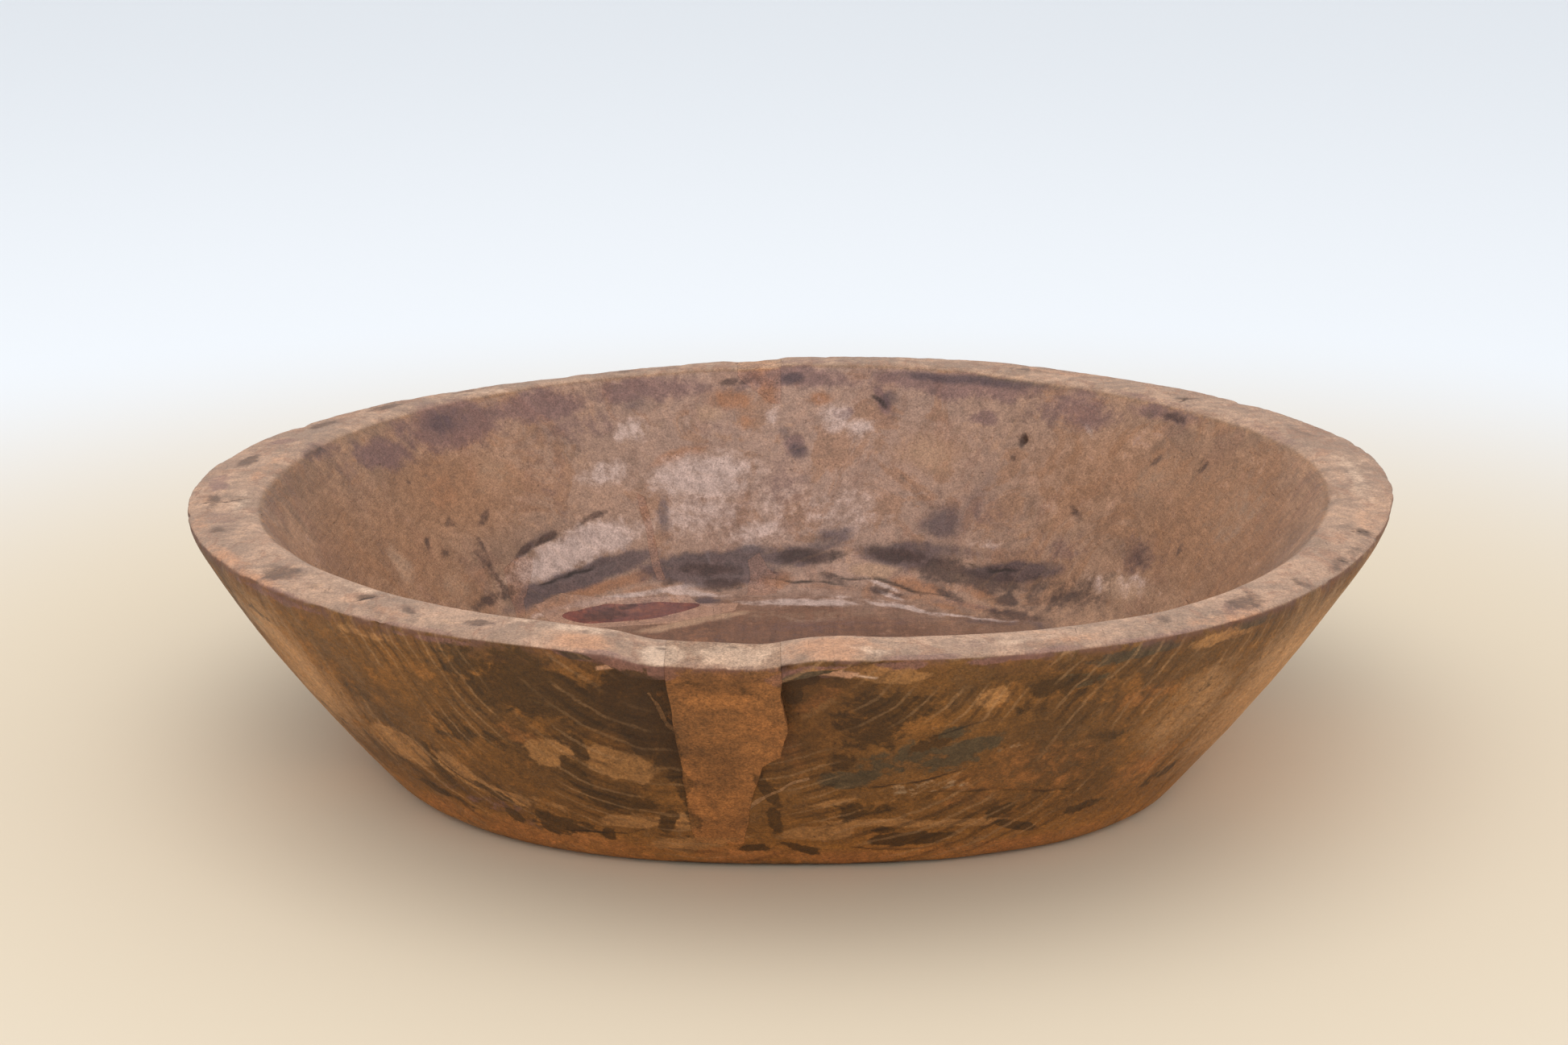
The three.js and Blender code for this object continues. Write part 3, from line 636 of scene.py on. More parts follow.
RIM_BLOTS = {
    "dark": [
        (-142.3, 0.45, 19, 14, 0, 1.0), (-131, 0.55, 6, 9, 60, 1.0), (-117.6, 0.55, 7, 12, 70, 0.9),
        (-136, 0.42, 18, 5, 0, 0.6), (-125, 0.5, 10, 4, 30, 0.7), (-47, 0.5, 22, 13, -20, 1.0),
        (-101, 0.55, 5, 3, 0, 0.7), (-57, 0.6, 8, 12, 60, 0.6), (-80, 0.62, 20, 8, 0, 0.5),
        (171, 0.45, 24, 7, 0, 1.0), (153, 0.42, 20, 8, 0, 1.0), (143, 0.42, 22, 7, 0, 0.9),
        (-172, 0.42, 22, 6, 0, 0.9), (130, 0.4, 20, 6, 0, 0.7), (-160, 0.38, 8, 5, 0, 0.8),
        (-76, 0.75, 9, 3, 20, 0.6), (38, 0.6, 5, 14, 20, 0.8), (-30, 0.2, 50, 7, 0, 0.5),
        (-22, 0.3, 6, 12, 40, 0.8), (-39, 0.35, 6, 12, 40, 0.8), (-100, 0.02, 10, 4, 0, 0.5),
        (60, 0.5, 20, 8, 0, 0.6), (110, 0.5, 20, 8, 0, 0.5), (20, 0.5, 26, 7, 0, 0.4),
        (-95, 0.8, 8, 5, 0, 0.4), (-66, 0.4, 9, 5, 0, 0.4), (-108, 0.7, 9, 4, 0, 0.4),
    ],
    "purple": [
        (-178, 0.38, 20, 9, 0, 1.0), (179, 0.4, 16, 9, 0, 0.9), (162, 0.4, 16, 12, 0, 0.9),
        (-80, 0.08, 24, 4, 0, 1.0), (-70, 0.06, 26, 5, 0, 0.8), (-60, 0.08, 40, 5, 0, 0.8),
        (-48, 0.5, 26, 16, -20, 0.6), (-105.5, 0.12, 20, 5, 0, 0.9), (-124, 0.06, 50, 4, 0, 0.7),
        (-140, 0.04, 60, 4, 0, 0.9), (-96, 0.1, 34, 6, 0, 0.6), (-75, 0.4, 26, 8, 0, 0.4),
        (40, 0.9, 60, 5, 0, 0.6), (20, 0.9, 60, 7, 0, 0.6), (90, 0.8, 60, 8, 0, 0.6),
        (-117, 0.5, 16, 16, 0, 0.4), (-165, 0.5, 40, 12, 0, 0.4),
    ],
    "orange": [
        (-151, 0.18, 34, 8, 0, 0.8), (-107.5, 0.38, 22, 14, 0, 1.0), (-87, 0.4, 26, 22, 0, 1.0),
        (-143, 0.12, 30, 5, 0, 0.7), (-52, 0.25, 40, 10, 0, 0.6), (-163, 0.2, 30, 7, 0, 0.5),
        (94, 0.6, 18, 16, 0, 0.9), (-68, 0.3, 30, 8, 0, 0.5), (-128, 0.35, 30, 6, 0, 0.5),
        (174, 0.8, 50, 6, 0, 0.5), (60, 0.4, 50, 10, 0, 0.4), (-18, 0.3, 40, 10, 0, 0.3),
    ],
    "pale": [
        (-101, 0.35, 14, 16, 0, 1.2), (-95, 0.5, 30, 18, 0, 1.1), (-110, 0.78, 50, 8, 0, 0.5),
        (-84, 0.3, 16, 8, 30, 0.6), (-72, 0.5, 40, 10, 0, 0.4), (-132, 0.78, 50, 8, 0, 0.4),
        (0, 0.5, 80, 12, 0, 0.5), (-170, 0.75, 50, 8, 0, 0.5), (130, 0.7, 80, 9, 0, 0.4),
    ],
    "grey": [
        (155, 0.5, 60, 14, 0, 0.5), (120, 0.5, 90, 14, 0, 0.4), (-40, 0.1, 60, 5, 0, 0.5),
    ],
}
# On the floor, x and y on the bowl's axis stand in place of bearing and climb.
FLOOR_BLOTS = {
    "dark": [
        (-88, 104, 24, 14, 40, 1.0), (104, 97, 30, 12, -30, 0.8), (98, 128, 24, 10, -40, 0.7),
        (20, 60, 120, 26, 4, 0.4), (-60, -30, 90, 16, 60, 0.5), (50, -60, 90, 20, 80, 0.5),
        (-10, 10, 30, 20, 0, 0.4), (-100, 20, 40, 14, 80, 0.6), (84, 10, 70, 16, 84, 0.5),
        (0, -96, 60, 18, 0, 0.6),
    ],
    "pale": [
        (8, 126, 70, 9, -2, 0.8), (52, 116, 44, 4.5, -38, 1.0), (80, 101, 44, 4, -24, 0.8),
        (-62, 138, 60, 5, -4, 0.8), (-20, -10, 60, 20, 80, 0.3), (40, 40, 60, 12, 86, 0.3),
    ],
    "tan": [
        (-50, 92, 52, 10, 34, 1.0), (-32, 106, 26, 7, 30, 0.9), (10, 104, 90, 20, 0, 0.4),
        (70, 60, 26, 60, 0, 0.4), (-70, 10, 26, 70, 0, 0.4), (20, -50, 26, 60, 0, 0.4),
    ],
    "purple": [
        (-72, 112, 60, 40, 14, 0.7), (20, 90, 110, 30, 0, 0.35), (60, -20, 40, 70, 0, 0.35),
        (90, 112, 50, 12, -34, 0.6), (-30, 40, 30, 80, 0, 0.3),
    ],
    "orange": [
        (-76, 114, 46, 24, 12, 0.4), (70, 118, 30, 8, -38, 0.6), (-40, 60, 20, 60, 0, 0.4),
        (0, 20, 16, 90, 4, 0.4), (44, 0, 14, 80, 0, 0.4),
    ],
    "grey": [(-40, 128, 18, 12, 0, 0.9), (112, 80, 30, 10, -60, 0.6), (92, 92, 36, 9, -20, 0.6)],
    "golden": [(-20, -40, 90, 60, 0, 0.4), (60, 30, 60, 60, 0, 0.4)],
}
TONES = ("dark", "grey", "tan", "orange", "golden", "purple", "pale")


def spread(tones, blots, bearing, across_at, up, drift, where, inward):
    """Adds blots to the tones over the part of the surface where they lie."""
    wander_one, wander_two = drift
    for tone, marks in blots.items():
        for place, level, length, breadth, tilt, strength in marks:
            offset = (bearing - place + 180) % 360 - 180
            along = np.radians(offset) * across_at * (-1 if inward else 1)
            rise = up - level
            near = where & (np.abs(along) < 1.3 * length + 8) & (np.abs(rise) < length + breadth)
            near = np.nonzero(near)[0]
            turn = math.radians(tilt)
            ease = min(1.0, breadth / 12)
            right = along[near] + wander_one[near] * ease
            high = rise[near] + wander_two[near] * ease
            one = (right * math.cos(turn) + high * math.sin(turn)) / (length / 2)
            two = (high * math.cos(turn) - right * math.sin(turn)) / (breadth / 2)
            value = strength * np.exp(-0.69 * np.hypot(one, two) ** 3)
            tones[tone][near] = np.maximum(tones[tone][near], value)


def face_up(mesh):
    """How far the faces round each point look up, from -1 to 1."""
    normals = np.empty(len(mesh.polygons) * 3, np.float32)
    mesh.polygons.foreach_get("normal", normals)
    sizes = np.empty(len(mesh.polygons), np.int32)
    mesh.polygons.foreach_get("loop_total", sizes)
    corners = np.empty(len(mesh.loops), np.int32)
    mesh.loops.foreach_get("vertex_index", corners)
    upward = np.full(len(mesh.vertices), -1.0)
    np.maximum.at(upward, corners, np.repeat(normals[2::3], sizes))
    return upward


def stain(piece):
    """Gives the piece its stains, its dirt, the masks for its faces, and masks for painted shadow
    under the lip, painted light near the foot and a darker floor that is partly painted shade.
    """
    mesh = piece.data
    points = np.empty(len(mesh.vertices) * 3, np.float32)
    mesh.vertices.foreach_get("co", points)
    points = points.reshape(-1, 3).astype(float) / MM - np.append(AXIS, 0.0)
    x, y, z = points.T
    radius = np.hypot(x, y)
    angle = np.arctan2(y, x)
    bearing = np.degrees(angle)
    lip_radius, lip_height = outer_lip(angle)
    inner_radius = inner_lip(angle)[0]
    floor_edge, wall_radius, slope = hollow_shape(angle)
    share = np.clip(z / lip_height, 0, 1)
    outer_radius = outside_at(angle, share)[0]
    bend_middle = FLOOR_THICKNESS + FLOOR_FILLET
    bend = np.arctan2(np.maximum(radius - floor_edge, 0), np.maximum(bend_middle - z, 1e-3))
    bend = np.minimum(bend, slope)
    wall_height = bend_middle - FLOOR_FILLET * np.cos(slope)
    up_wall = (radius - wall_radius) * np.cos(slope) + (z - wall_height) * np.sin(slope)
    climb = FLOOR_FILLET * bend + np.maximum(up_wall, 0)
    climb = np.where(radius < floor_edge, radius - floor_edge, climb)
    hollow_radius, hollow_level = inside_at(angle, climb)
    to_outside = np.abs(radius - outer_radius) * 0.8
    to_inside = (np.abs(radius - hollow_radius) + np.abs(z - hollow_level)) * 0.7
    across = (lip_radius - radius) / (lip_radius - inner_radius)
    top = lip_height + RIM_RISE * np.clip(across, 0, 1)
    upward = face_up(mesh)
    near_top = (z > top - 9) & (across > -0.3) & (across < 1.12)
    on_top = near_top & ((upward > 0.5) | (across > 0.3))
    low = z < 2.5
    inside = (to_inside < to_outside) & ~low
    outside = ~inside & ~on_top & ~(low & (radius < FOOT_RADIUS - 9))
    tones = {tone: np.zeros(len(points)) for tone in TONES}
    drift = (3.0 * lumps(points, 17, 81) + 1.3 * lumps(points, 6, 82),
             2.2 * lumps(points, 15, 83) + 1.0 * lumps(points, 5, 84))
    spread(tones, OUTSIDE_BLOTS, bearing, radius, z, drift, outside, False)
    floor = inside & (climb < 0)
    spread(tones, INSIDE_BLOTS, bearing, radius, climb, drift, inside & ~floor, True)
    width = lip_radius - inner_radius
    for tone, marks in RIM_BLOTS.items():
        for place, over, length, breadth, tilt, strength in marks:
            single = {tone: [(place, 0, length, breadth, tilt, strength)]}
            spread(tones, single, bearing, radius, (over - across) * width, drift, on_top, False)
    for tone, marks in FLOOR_BLOTS.items():
        for across_x, across_y, length, breadth, tilt, strength in marks:
            near = np.nonzero((inside & (climb < 14)) & (np.abs(x - across_x) < length + 8)
                              & (np.abs(y - across_y) < length + 8))[0]
            turn = math.radians(tilt)
            right = x[near] - across_x + drift[0][near]
            high = y[near] - across_y + drift[1][near]
            one = (right * math.cos(turn) + high * math.sin(turn)) / (length / 2)
            two = (high * math.cos(turn) - right * math.sin(turn)) / (breadth / 2)
            value = strength * np.exp(-0.69 * np.hypot(one, two) ** 3)
            tones[tone][near] = np.maximum(tones[tone][near], value)
    dirt = check_depth(points)[1]
    for spot, size, _ in WORM_HOLES:
        away = np.linalg.norm(points - spot, axis=1)
        dirt = np.maximum(dirt, np.exp(-(away / (1.2 * size)) ** 2))
    # Painted shadow under the overhanging lip on both sides of the front repair, deepest where the
    # wall is cut back most.
    ledge_shade = lip_shadow(x, y, z) * outside * (piece is bowl)
    rolled = np.where(across < 0.3, eased(upward, 0.30, 0.75), 1.0) * near_top
    masks = dict(tones)
    masks["dirt"] = dirt
    masks["ledge_shade"] = np.clip(ledge_shade / 4, 0, 1)
    masks["inside"] = np.where(on_top, eased(across, 0.94, 1.08), inside * 1.0)
    masks["rim"] = rolled * (1 - eased(across, 0.96, 1.04))
    masks["arris"] = near_top * (across < 0.3) * np.exp(-((upward - 0.20) / 0.48) ** 2)
    masks["under"] = (low & (radius < FOOT_RADIUS - 4)) * 1.0
    # Painted light: the outside wall is lightened towards the foot, standing in for light thrown up
    # from the table.
    masks["foot"] = outside * (1 - eased(z, 3, 30))
    # Darker and redder towards the floor of the hollow: partly the wood's own colour, partly
    # painted shade where the hollow is deepest.
    masks["floor"] = inside * (1 - eased(climb + 9 * drift[0] / 3, -34, 26))
    masks["centre"] = np.exp(-((bearing - 90) / 42) ** 2) * inside
    for name, values in masks.items():
        mask = mesh.attributes.new(name, "FLOAT", "POINT")
        mask.data.foreach_set("value", np.asarray(values, np.float32))
    mesh.shade_smooth()
    mesh.set_sharp_from_angle(angle=math.radians(42))


def colour(red, green, blue):
    """A paint colour given as the eye sees it, 0 to 255, for a shader."""
    linear = [((c / 255 + 0.055) / 1.055) ** 2.4 if c > 10 else c / 3294.6
              for c in (red, green, blue)]
    return (*linear, 1.0)


def add(tree, kind, inputs=None, out=0, **settings):
    """One node in a finish, joined to what feeds it, and its output."""
    node = tree.nodes.new("ShaderNode" + kind)
    for key, value in settings.items():
        setattr(node, key, value)
    for key, value in (inputs or {}).items():
        if isinstance(value, bpy.types.NodeSocket):
            tree.links.new(value, node.inputs[key])
        else:
            node.inputs[key].default_value = value
    return node.outputs[out] if node.outputs else node


def sum_of(tree, one, two):
    return add(tree, "Math", {0: one, 1: two}, operation="ADD")


def times(tree, one, two):
    return add(tree, "Math", {0: one, 1: two}, operation="MULTIPLY")


def layer(tree, factor, under, over, kind="MIX"):
    return add(tree, "Mix", {0: factor, 6: under, 7: over}, out=2, data_type="RGBA",
               blend_type=kind)


def layer_value(tree, factor, under, over):
    return add(tree, "Mix", {0: factor, 2: under, 3: over}, data_type="FLOAT")


def ramped(tree, value, low, high, start=0.0, end=1.0):
    return add(tree, "MapRange", {"Value": value, "From Min": low, "From Max": high,
                                  "To Min": start, "To Max": end},
               interpolation_type="SMOOTHSTEP")


def cloud(tree, place, scale, detail=3.0, rough=0.55, warp=0.0):
    return add(tree, "TexNoise", {"Vector": place, "Scale": scale, "Detail": detail,
                                  "Roughness": rough, "Distortion": warp})


def painted(tree, name):
    return add(tree, "Attribute", out=2, attribute_name=name)


def stretched(tree, place, x, y, z):
    return add(tree, "VectorMath", {0: place, 1: (x, y, z)}, operation="MULTIPLY")


# Outside tones. The dark tone also serves as painted shadow under the lip beside the front repair,
# and the golden tone as partly painted sheen at the right end of the near wall.
OUTSIDE_TONES = {
    "golden": (200, 148, 98), "orange": (170, 108, 57), "purple": (134, 92, 80),
    "pale": (154, 124, 92), "tan": (166, 116, 66), "grey": (80, 65, 44), "dark": (81, 52, 19),
}
RIM_TONES = {
    "golden": (184, 144, 108), "orange": (192, 140, 106), "purple": (142, 106, 94),
    "pale": (210, 178, 152), "tan": (196, 158, 126), "grey": (134, 114, 100),
    "dark": (104, 78, 62),
}
INSIDE_TONES = {
    "golden": (150, 105, 72), "orange": (150, 100, 68), "purple": (116, 84, 82),
    "pale": (192, 165, 154), "tan": (176, 138, 110), "grey": (72, 58, 62), "dark": (66, 44, 37),
}


# The log's heart, left of and above the bowl's foot, and one year's growth, in metres.
HEART_X = -0.024
HEART_Z = 0.155
YEAR = 0.0075


def wood_finish(name, outside, inside, floor, top, rings, grit, mottle, stains, rough):
    """Old waxed wood: ground colours by face, rings, fibres, pores, stains and wear, with painted
    light near the foot and painted shade under the lip and in the floor.
    """
    material = bpy.data.materials.new(name)
    material.use_nodes = True
    tree = material.node_tree
    tree.nodes.clear()
    place = add(tree, "TexCoord", out=3)

    wide = cloud(tree, place, 16.0, 4.0, 0.55, 0.4)
    broad = cloud(tree, place, 42.0, 4.0, 0.6, 0.6)
    fine = cloud(tree, place, 190.0, 4.0, 0.65, 0.3)
    along = stretched(tree, place, 1.0, 0.09, 1.0)
    fibre = cloud(tree, along, 620.0, 3.0, 0.6, 0.2)
    strand = cloud(tree, along, 150.0, 4.0, 0.6, 0.5)
    grain = cloud(tree, place, 1150.0, 2.0, 0.7)

    # Growth rings round the log's heart, which lay above the bowl's middle.
    split = add(tree, "SeparateXYZ", {0: place})
    parts = split.node.outputs
    bent_x = sum_of(tree, parts[0], -HEART_X)
    bent_z = sum_of(tree, parts[2], -HEART_Z)
    squared = sum_of(tree, times(tree, bent_x, bent_x), times(tree, bent_z, bent_z))
    reach = add(tree, "Math", {0: squared, 1: 0.5}, operation="POWER")
    sway = cloud(tree, place, 9.0, 1.0, 0.4)
    drift = add(tree, "Math", {0: broad, 1: 0.006, 2: reach}, operation="MULTIPLY_ADD")
    drift = add(tree, "Math", {0: sway, 1: 0.034, 2: drift}, operation="MULTIPLY_ADD")
    year = times(tree, drift, 2 * math.pi / YEAR)
    wave = add(tree, "Math", {0: year}, operation="SINE")
    late = ramped(tree, wave, 0.60, 1.0)
    early = ramped(tree, wave, -0.80, -1.0)
    ring_here = ramped(tree, cloud(tree, place, 30.0, 3.0, 0.5, 0.0), 0.42, 0.60)

    # Ground colour of each face.
    browns = [colour(*[c * k for c in outside]) for k in (0.80, 1.0, 1.16)]
    ground = layer(tree, ramped(tree, wide, 0.36, 0.60), browns[0], browns[1])
    ground = layer(tree, times(tree, ramped(tree, broad, 0.50, 0.72), 0.8), ground, browns[2])
    golds = [colour(*[c * k for c in inside]) for k in (0.86, 1.0, 1.12)]
    hollow = layer(tree, ramped(tree, wide, 0.38, 0.60), golds[0], golds[1])
    hollow = layer(tree, times(tree, ramped(tree, broad, 0.48, 0.70), 0.8), hollow, golds[2])
    within = painted(tree, "inside")
    hollow = layer(tree, times(tree, painted(tree, "centre"), 0.85), hollow,
                   colour(inside[0] * 1.06, inside[1] * 1.13, inside[2] * 1.29))
    patch = cloud(tree, place, 24.0, 9.0, 0.66, 1.4)
    hollow = layer(tree, times(tree, ramped(tree, patch, 0.52, 0.58), 0.45), hollow,
                   colour(*[c * k for c, k in zip(inside, (0.94, 0.86, 0.76))]))
    flush = cloud(tree, stretched(tree, place, 1.0, 1.0, 0.45), 38.0, 9.0, 0.68, 1.0)
    hollow = layer(tree, times(tree, ramped(tree, flush, 0.53, 0.60), 0.40), hollow,
                   colour(*[c * k for c, k in zip(inside, (0.86, 0.82, 0.86))]))
    rubbed = cloud(tree, stretched(tree, place, 1.0, 1.0, 0.6), 55.0, 9.0, 0.70, 0.8)
    hollow = layer(tree, times(tree, ramped(tree, rubbed, 0.56, 0.66), 0.35), hollow,
                   colour(*[c * 1.16 for c in inside]))
    # The floor colour: partly the wood's own darker, redder colour, partly painted shade in the
    # bottom of the hollow.
    hollow = layer(tree, painted(tree, "floor"), hollow, colour(*floor))
    # Painted light thrown up from the table: the outside wall is lighter towards the foot.
    ground = layer(tree, times(tree, painted(tree, "foot"), 0.8), ground,
                   colour(*[c * 1.40 for c in outside]))
    ground = layer(tree, within, ground, hollow)
    lip = layer(tree, ramped(tree, broad, 0.38, 0.64), colour(*[c * 0.88 for c in top]),
                colour(*[min(255, c * 1.04) for c in top]))
    scuff = cloud(tree, stretched(tree, place, 1.0, 0.5, 1.0), 85.0, 9.0, 0.74, 1.0)
    lip = layer(tree, times(tree, ramped(tree, scuff, 0.50, 0.60), 0.55), lip,
                colour(top[0] * 0.86, top[1] * 0.78, top[2] * 0.74))
    bare = cloud(tree, place, 60.0, 9.0, 0.74, 1.2)
    lip = layer(tree, times(tree, ramped(tree, bare, 0.55, 0.66), 0.5), lip,
                colour(top[0] * 1.12, top[1] * 1.1, top[2] * 1.06))
    on_lip = painted(tree, "rim")
    ground = layer(tree, on_lip, ground, lip)
    ground = layer(tree, painted(tree, "under"), ground,
                   colour(*[c * 0.82 for c in outside]))

    # Stains lie over the ground, ragged at their edges, with the few blots of painted shadow and
    # painted sheen among them.
    ragged = sum_of(tree, times(tree, sum_of(tree, fine, -0.5), 1.1),
                    times(tree, sum_of(tree, broad, -0.5), 1.0))
    ragged = sum_of(tree, ragged, times(tree, sum_of(tree, strand, -0.5), 0.5))
    counter = times(tree, ragged, -1.0)
    gentle = add(tree, "Math", {0: within, 1: on_lip}, operation="MAXIMUM")
    start = ramped(tree, gentle, 0.0, 1.0, 0.34, 0.18)
    finish = ramped(tree, gentle, 0.0, 1.0, 0.58, 0.88)
    hold = ramped(tree, gentle, 0.0, 1.0, stains, stains * 0.86)
    for number, tone in enumerate(("golden", "orange", "purple", "pale", "tan", "grey", "dark")):
        shade = layer(tree, within, colour(*OUTSIDE_TONES[tone]), colour(*INSIDE_TONES[tone]))
        shade = layer(tree, on_lip, shade, colour(*RIM_TONES[tone]))
        edge = ragged if number % 2 else counter
        begin, end = (0.04, 1.05) if tone in ("golden", "orange") else (start, finish)
        mask = ramped(tree, sum_of(tree, painted(tree, tone), edge), begin, end)
        soft = 0.80 if tone in ("golden", "purple") else 0.92
        ground = layer(tree, times(tree, times(tree, mask, hold), soft), ground, shade)

    # Rings, fibres, pores, painted shadow under the lip, and dust.
    mellow = add(tree, "Math", {0: 1.0, 1: within}, operation="SUBTRACT")
    mellow = sum_of(tree, times(tree, mellow, 0.82), 0.18)
    mellow = times(tree, mellow, ramped(tree, on_lip, 0.0, 1.0, 1.0, 0.18))
    clear = add(tree, "Math", {0: 1.0, 1: painted(tree, "golden")}, operation="SUBTRACT",
                use_clamp=True)
    ring_here = times(tree, ring_here, clear)
    line = times(tree, times(tree, late, ring_here), times(tree, mellow, 0.38 * rings))
    ground = layer(tree, line, ground, colour(40, 24, 12), "MULTIPLY")
    bright = times(tree, times(tree, early, ring_here), times(tree, mellow, 0.35 * rings))
    ground = layer(tree, bright, ground, colour(176, 134, 92))
    quiet = add(tree, "Math", {0: times(tree, within, 0.5), 1: times(tree, on_lip, 0.8)},
                operation="MAXIMUM")
    strands = layer_value(tree, quiet, ramped(tree, strand, 0.30, 0.70, 0.86, 1.12), 1.0)
    fibres = layer_value(tree, quiet, ramped(tree, fibre, 0.25, 0.75, 0.80, 1.18), 1.0)
    specks = ramped(tree, grain, 0.25, 0.75, 1 - grit, 1 + grit)
    freckle = ramped(tree, fine, 0.28, 0.72, 1 - mottle, 1 + mottle)
    tint = times(tree, times(tree, strands, fibres), times(tree, specks, freckle))
    tint = add(tree, "CombineColor", {0: tint, 1: tint, 2: tint})
    ground = layer(tree, 1.0, ground, tint, "MULTIPLY")
    pore = times(tree, ramped(tree, fibre, 0.36, 0.24), ramped(tree, fine, 0.45, 0.6))
    ground = layer(tree, times(tree, pore, 0.55), ground, colour(58, 38, 26))
    # Painted shadow under the overhanging lip beside the front repair.
    ground = layer(tree, times(tree, painted(tree, "ledge_shade"), 0.5), ground, colour(52, 33, 20))
    worn = times(tree, painted(tree, "arris"), ramped(tree, sum_of(tree, broad, times(tree,
                 sum_of(tree, fine, -0.5), 0.8)), 0.37, 0.52))
    ground = layer(tree, times(tree, worn, 0.75), ground, colour(108, 72, 60))
    filth = painted(tree, "dirt")
    ground = layer(tree, times(tree, ramped(tree, filth, 0.25, 0.9), 0.85), ground,
                   colour(38, 25, 18))

    # Surface: fibres, pores, rings and grit in relief.
    relief = sum_of(tree, times(tree, fibre, 0.9), times(tree, grain, 0.5 + grit))
    relief = sum_of(tree, relief, times(tree, strand, 0.8))
    relief = sum_of(tree, relief, times(tree, fine, 0.8))
    relief = sum_of(tree, relief, times(tree, line, -0.9))
    relief = sum_of(tree, relief, times(tree, pore, -0.8))
    bump = add(tree, "Bump", {"Strength": 0.55, "Distance": 0.0007, "Height": relief})
    gloss = ramped(tree, sum_of(tree, times(tree, fine, 0.5), times(tree, broad, 0.5)),
                   0.3, 0.7, rough - 0.10, rough + 0.14)
    gloss = sum_of(tree, gloss, times(tree, on_lip, 0.06))
    surface = add(tree, "BsdfPrincipled", {"Base Color": ground, "Roughness": gloss,
                                           "Normal": bump, "Specular IOR Level": 0.35})
    add(tree, "OutputMaterial", {0: surface})
    return material


# floor is the colour the hollow turns towards its floor: partly the wood's own colour, partly
# painted shade.
carved_wood = wood_finish("carved_wood", outside=(122, 80, 35), inside=(154, 116, 89),
                          floor=(114, 78, 59), top=(178, 143, 119), rings=1.0, grit=0.26,
                          mottle=0.18, stains=1.0, rough=0.62)


def fit(piece, node, finish):
    """Gives a finished piece its material, hangs it under the root body and hides the part it
    stands for.
    """
    piece.data.materials.clear()
    piece.data.materials.append(finish)
    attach(piece, "root")
    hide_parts(node)


# ---------------------------------------------------------------------------
# The front wall filling: wood filler packed into the split that runs down
# the near wall from lip to foot. It is a full-thickness plug, pressed in wet
# and rubbed down flush; every other mend below is made the same way.
# ---------------------------------------------------------------------------
GLUE_LINE = 0.08


def wood_sector(name, low_bearing, high_bearing, columns, worn):
    """A slice of the bowl's own shape, from which a mend is cut."""
    angle = np.radians(np.linspace(low_bearing, high_bearing, columns))
    grid = carved_grid(angle, 70.0, False, worn)
    rows = len(grid)
    number = np.arange(rows * columns).reshape(rows, columns)
    after = np.roll(number, -1, axis=0)
    quads = [number[:, :-1], number[:, 1:], after[:, 1:], after[:, :-1]]
    faces = np.stack(quads, axis=-1).reshape(-1, 4).tolist()
    faces.append(number[:, 0].tolist())
    faces.append(number[::-1, -1].tolist())
    return write_mesh(name, grid.reshape(-1, 3), faces)


def rough_outline(outline, seed):
    """An outline with points every two millimetres and a slightly ragged course."""
    corners = np.array(outline, float)
    points = []
    for start, end in zip(corners, np.roll(corners, -1, axis=0)):
        count = max(1, int(np.linalg.norm(end - start) / 2.0))
        for number in range(count):
            points.append(start + (end - start) * number / count)
    points = np.array(points)
    flat = np.column_stack([points, np.zeros(len(points))])
    away = np.stack([lumps(flat, 7, seed), lumps(flat, 7, seed + 1)], axis=1)
    fine = np.stack([lumps(flat, 2.6, seed + 2), lumps(flat, 2.6, seed + 3)], axis=1)
    return points + 0.55 * away + 0.25 * fine


def drawn_in(outline, gap):
    """The outline moved inwards by gap, for the mend that sits in the hollow."""
    ahead = np.roll(outline, -1, axis=0) - outline
    behind = outline - np.roll(outline, 1, axis=0)
    along = ahead / np.linalg.norm(ahead, axis=1, keepdims=True)
    along += behind / np.linalg.norm(behind, axis=1, keepdims=True)
    along /= np.maximum(np.linalg.norm(along, axis=1, keepdims=True), 1e-6)
    x, y = outline.T
    area = np.sum(x * np.roll(y, -1) - np.roll(x, -1) * y)
    inwards = np.stack([-along[:, 1], along[:, 0]], axis=1) * np.sign(area)
    return outline + gap * inwards


def prism(name, outline, origin, across, up, low, high):
    """A plug with the outline as its section, in a frame set on the bowl."""
    across, up = np.array(across, float), np.array(up, float)
    through = np.cross(across, up)
    flat = outline[:, :1] * across + outline[:, 1:] * up + np.array(origin, float)
    points = np.vstack([flat + through * low, flat + through * high])
    count = len(outline)
    x, y = outline.T
    turn = 1 if np.sum(x * np.roll(y, -1) - np.roll(x, -1) * y) > 0 else -1
    bottom = list(range(count))[::-turn]
    top = list(range(count, 2 * count))[::turn]
    faces = [bottom, top]
    for one in range(count):
        two = (one + 1) % count
        side = [one, two, two + count, one + count]
        faces.append(side[::turn])
    return write_mesh(name, points, faces)


def cut(target, tool, operation):
    """Cuts or keeps the target with the tool, which stays as it was."""
    modifier = target.modifiers.new("cut", "BOOLEAN")
    modifier.operation = operation
    modifier.object = tool
    modifier.solver = "MANIFOLD"
    graph = bpy.context.evaluated_depsgraph_get()
    result = bpy.data.meshes.new_from_object(target.evaluated_get(graph))
    target.modifiers.clear()
    target.data = result


def mend(name, sector, outline, place, low, high, worn=False):
    """A filling cut from its slice of the bowl, and the hollow cut for it in the bowl."""
    origin, across, up = place
    piece = wood_sector(name, *sector, worn)
    plug = prism("plug", drawn_in(outline, GLUE_LINE), origin, across, up, low + GLUE_LINE, high)
    cut(piece, plug, "INTERSECT")
    bpy.data.objects.remove(plug)
    hollow = prism("hollow", outline, origin, across, up, low, high)
    cut(bowl, hollow, "DIFFERENCE")
    return piece, hollow


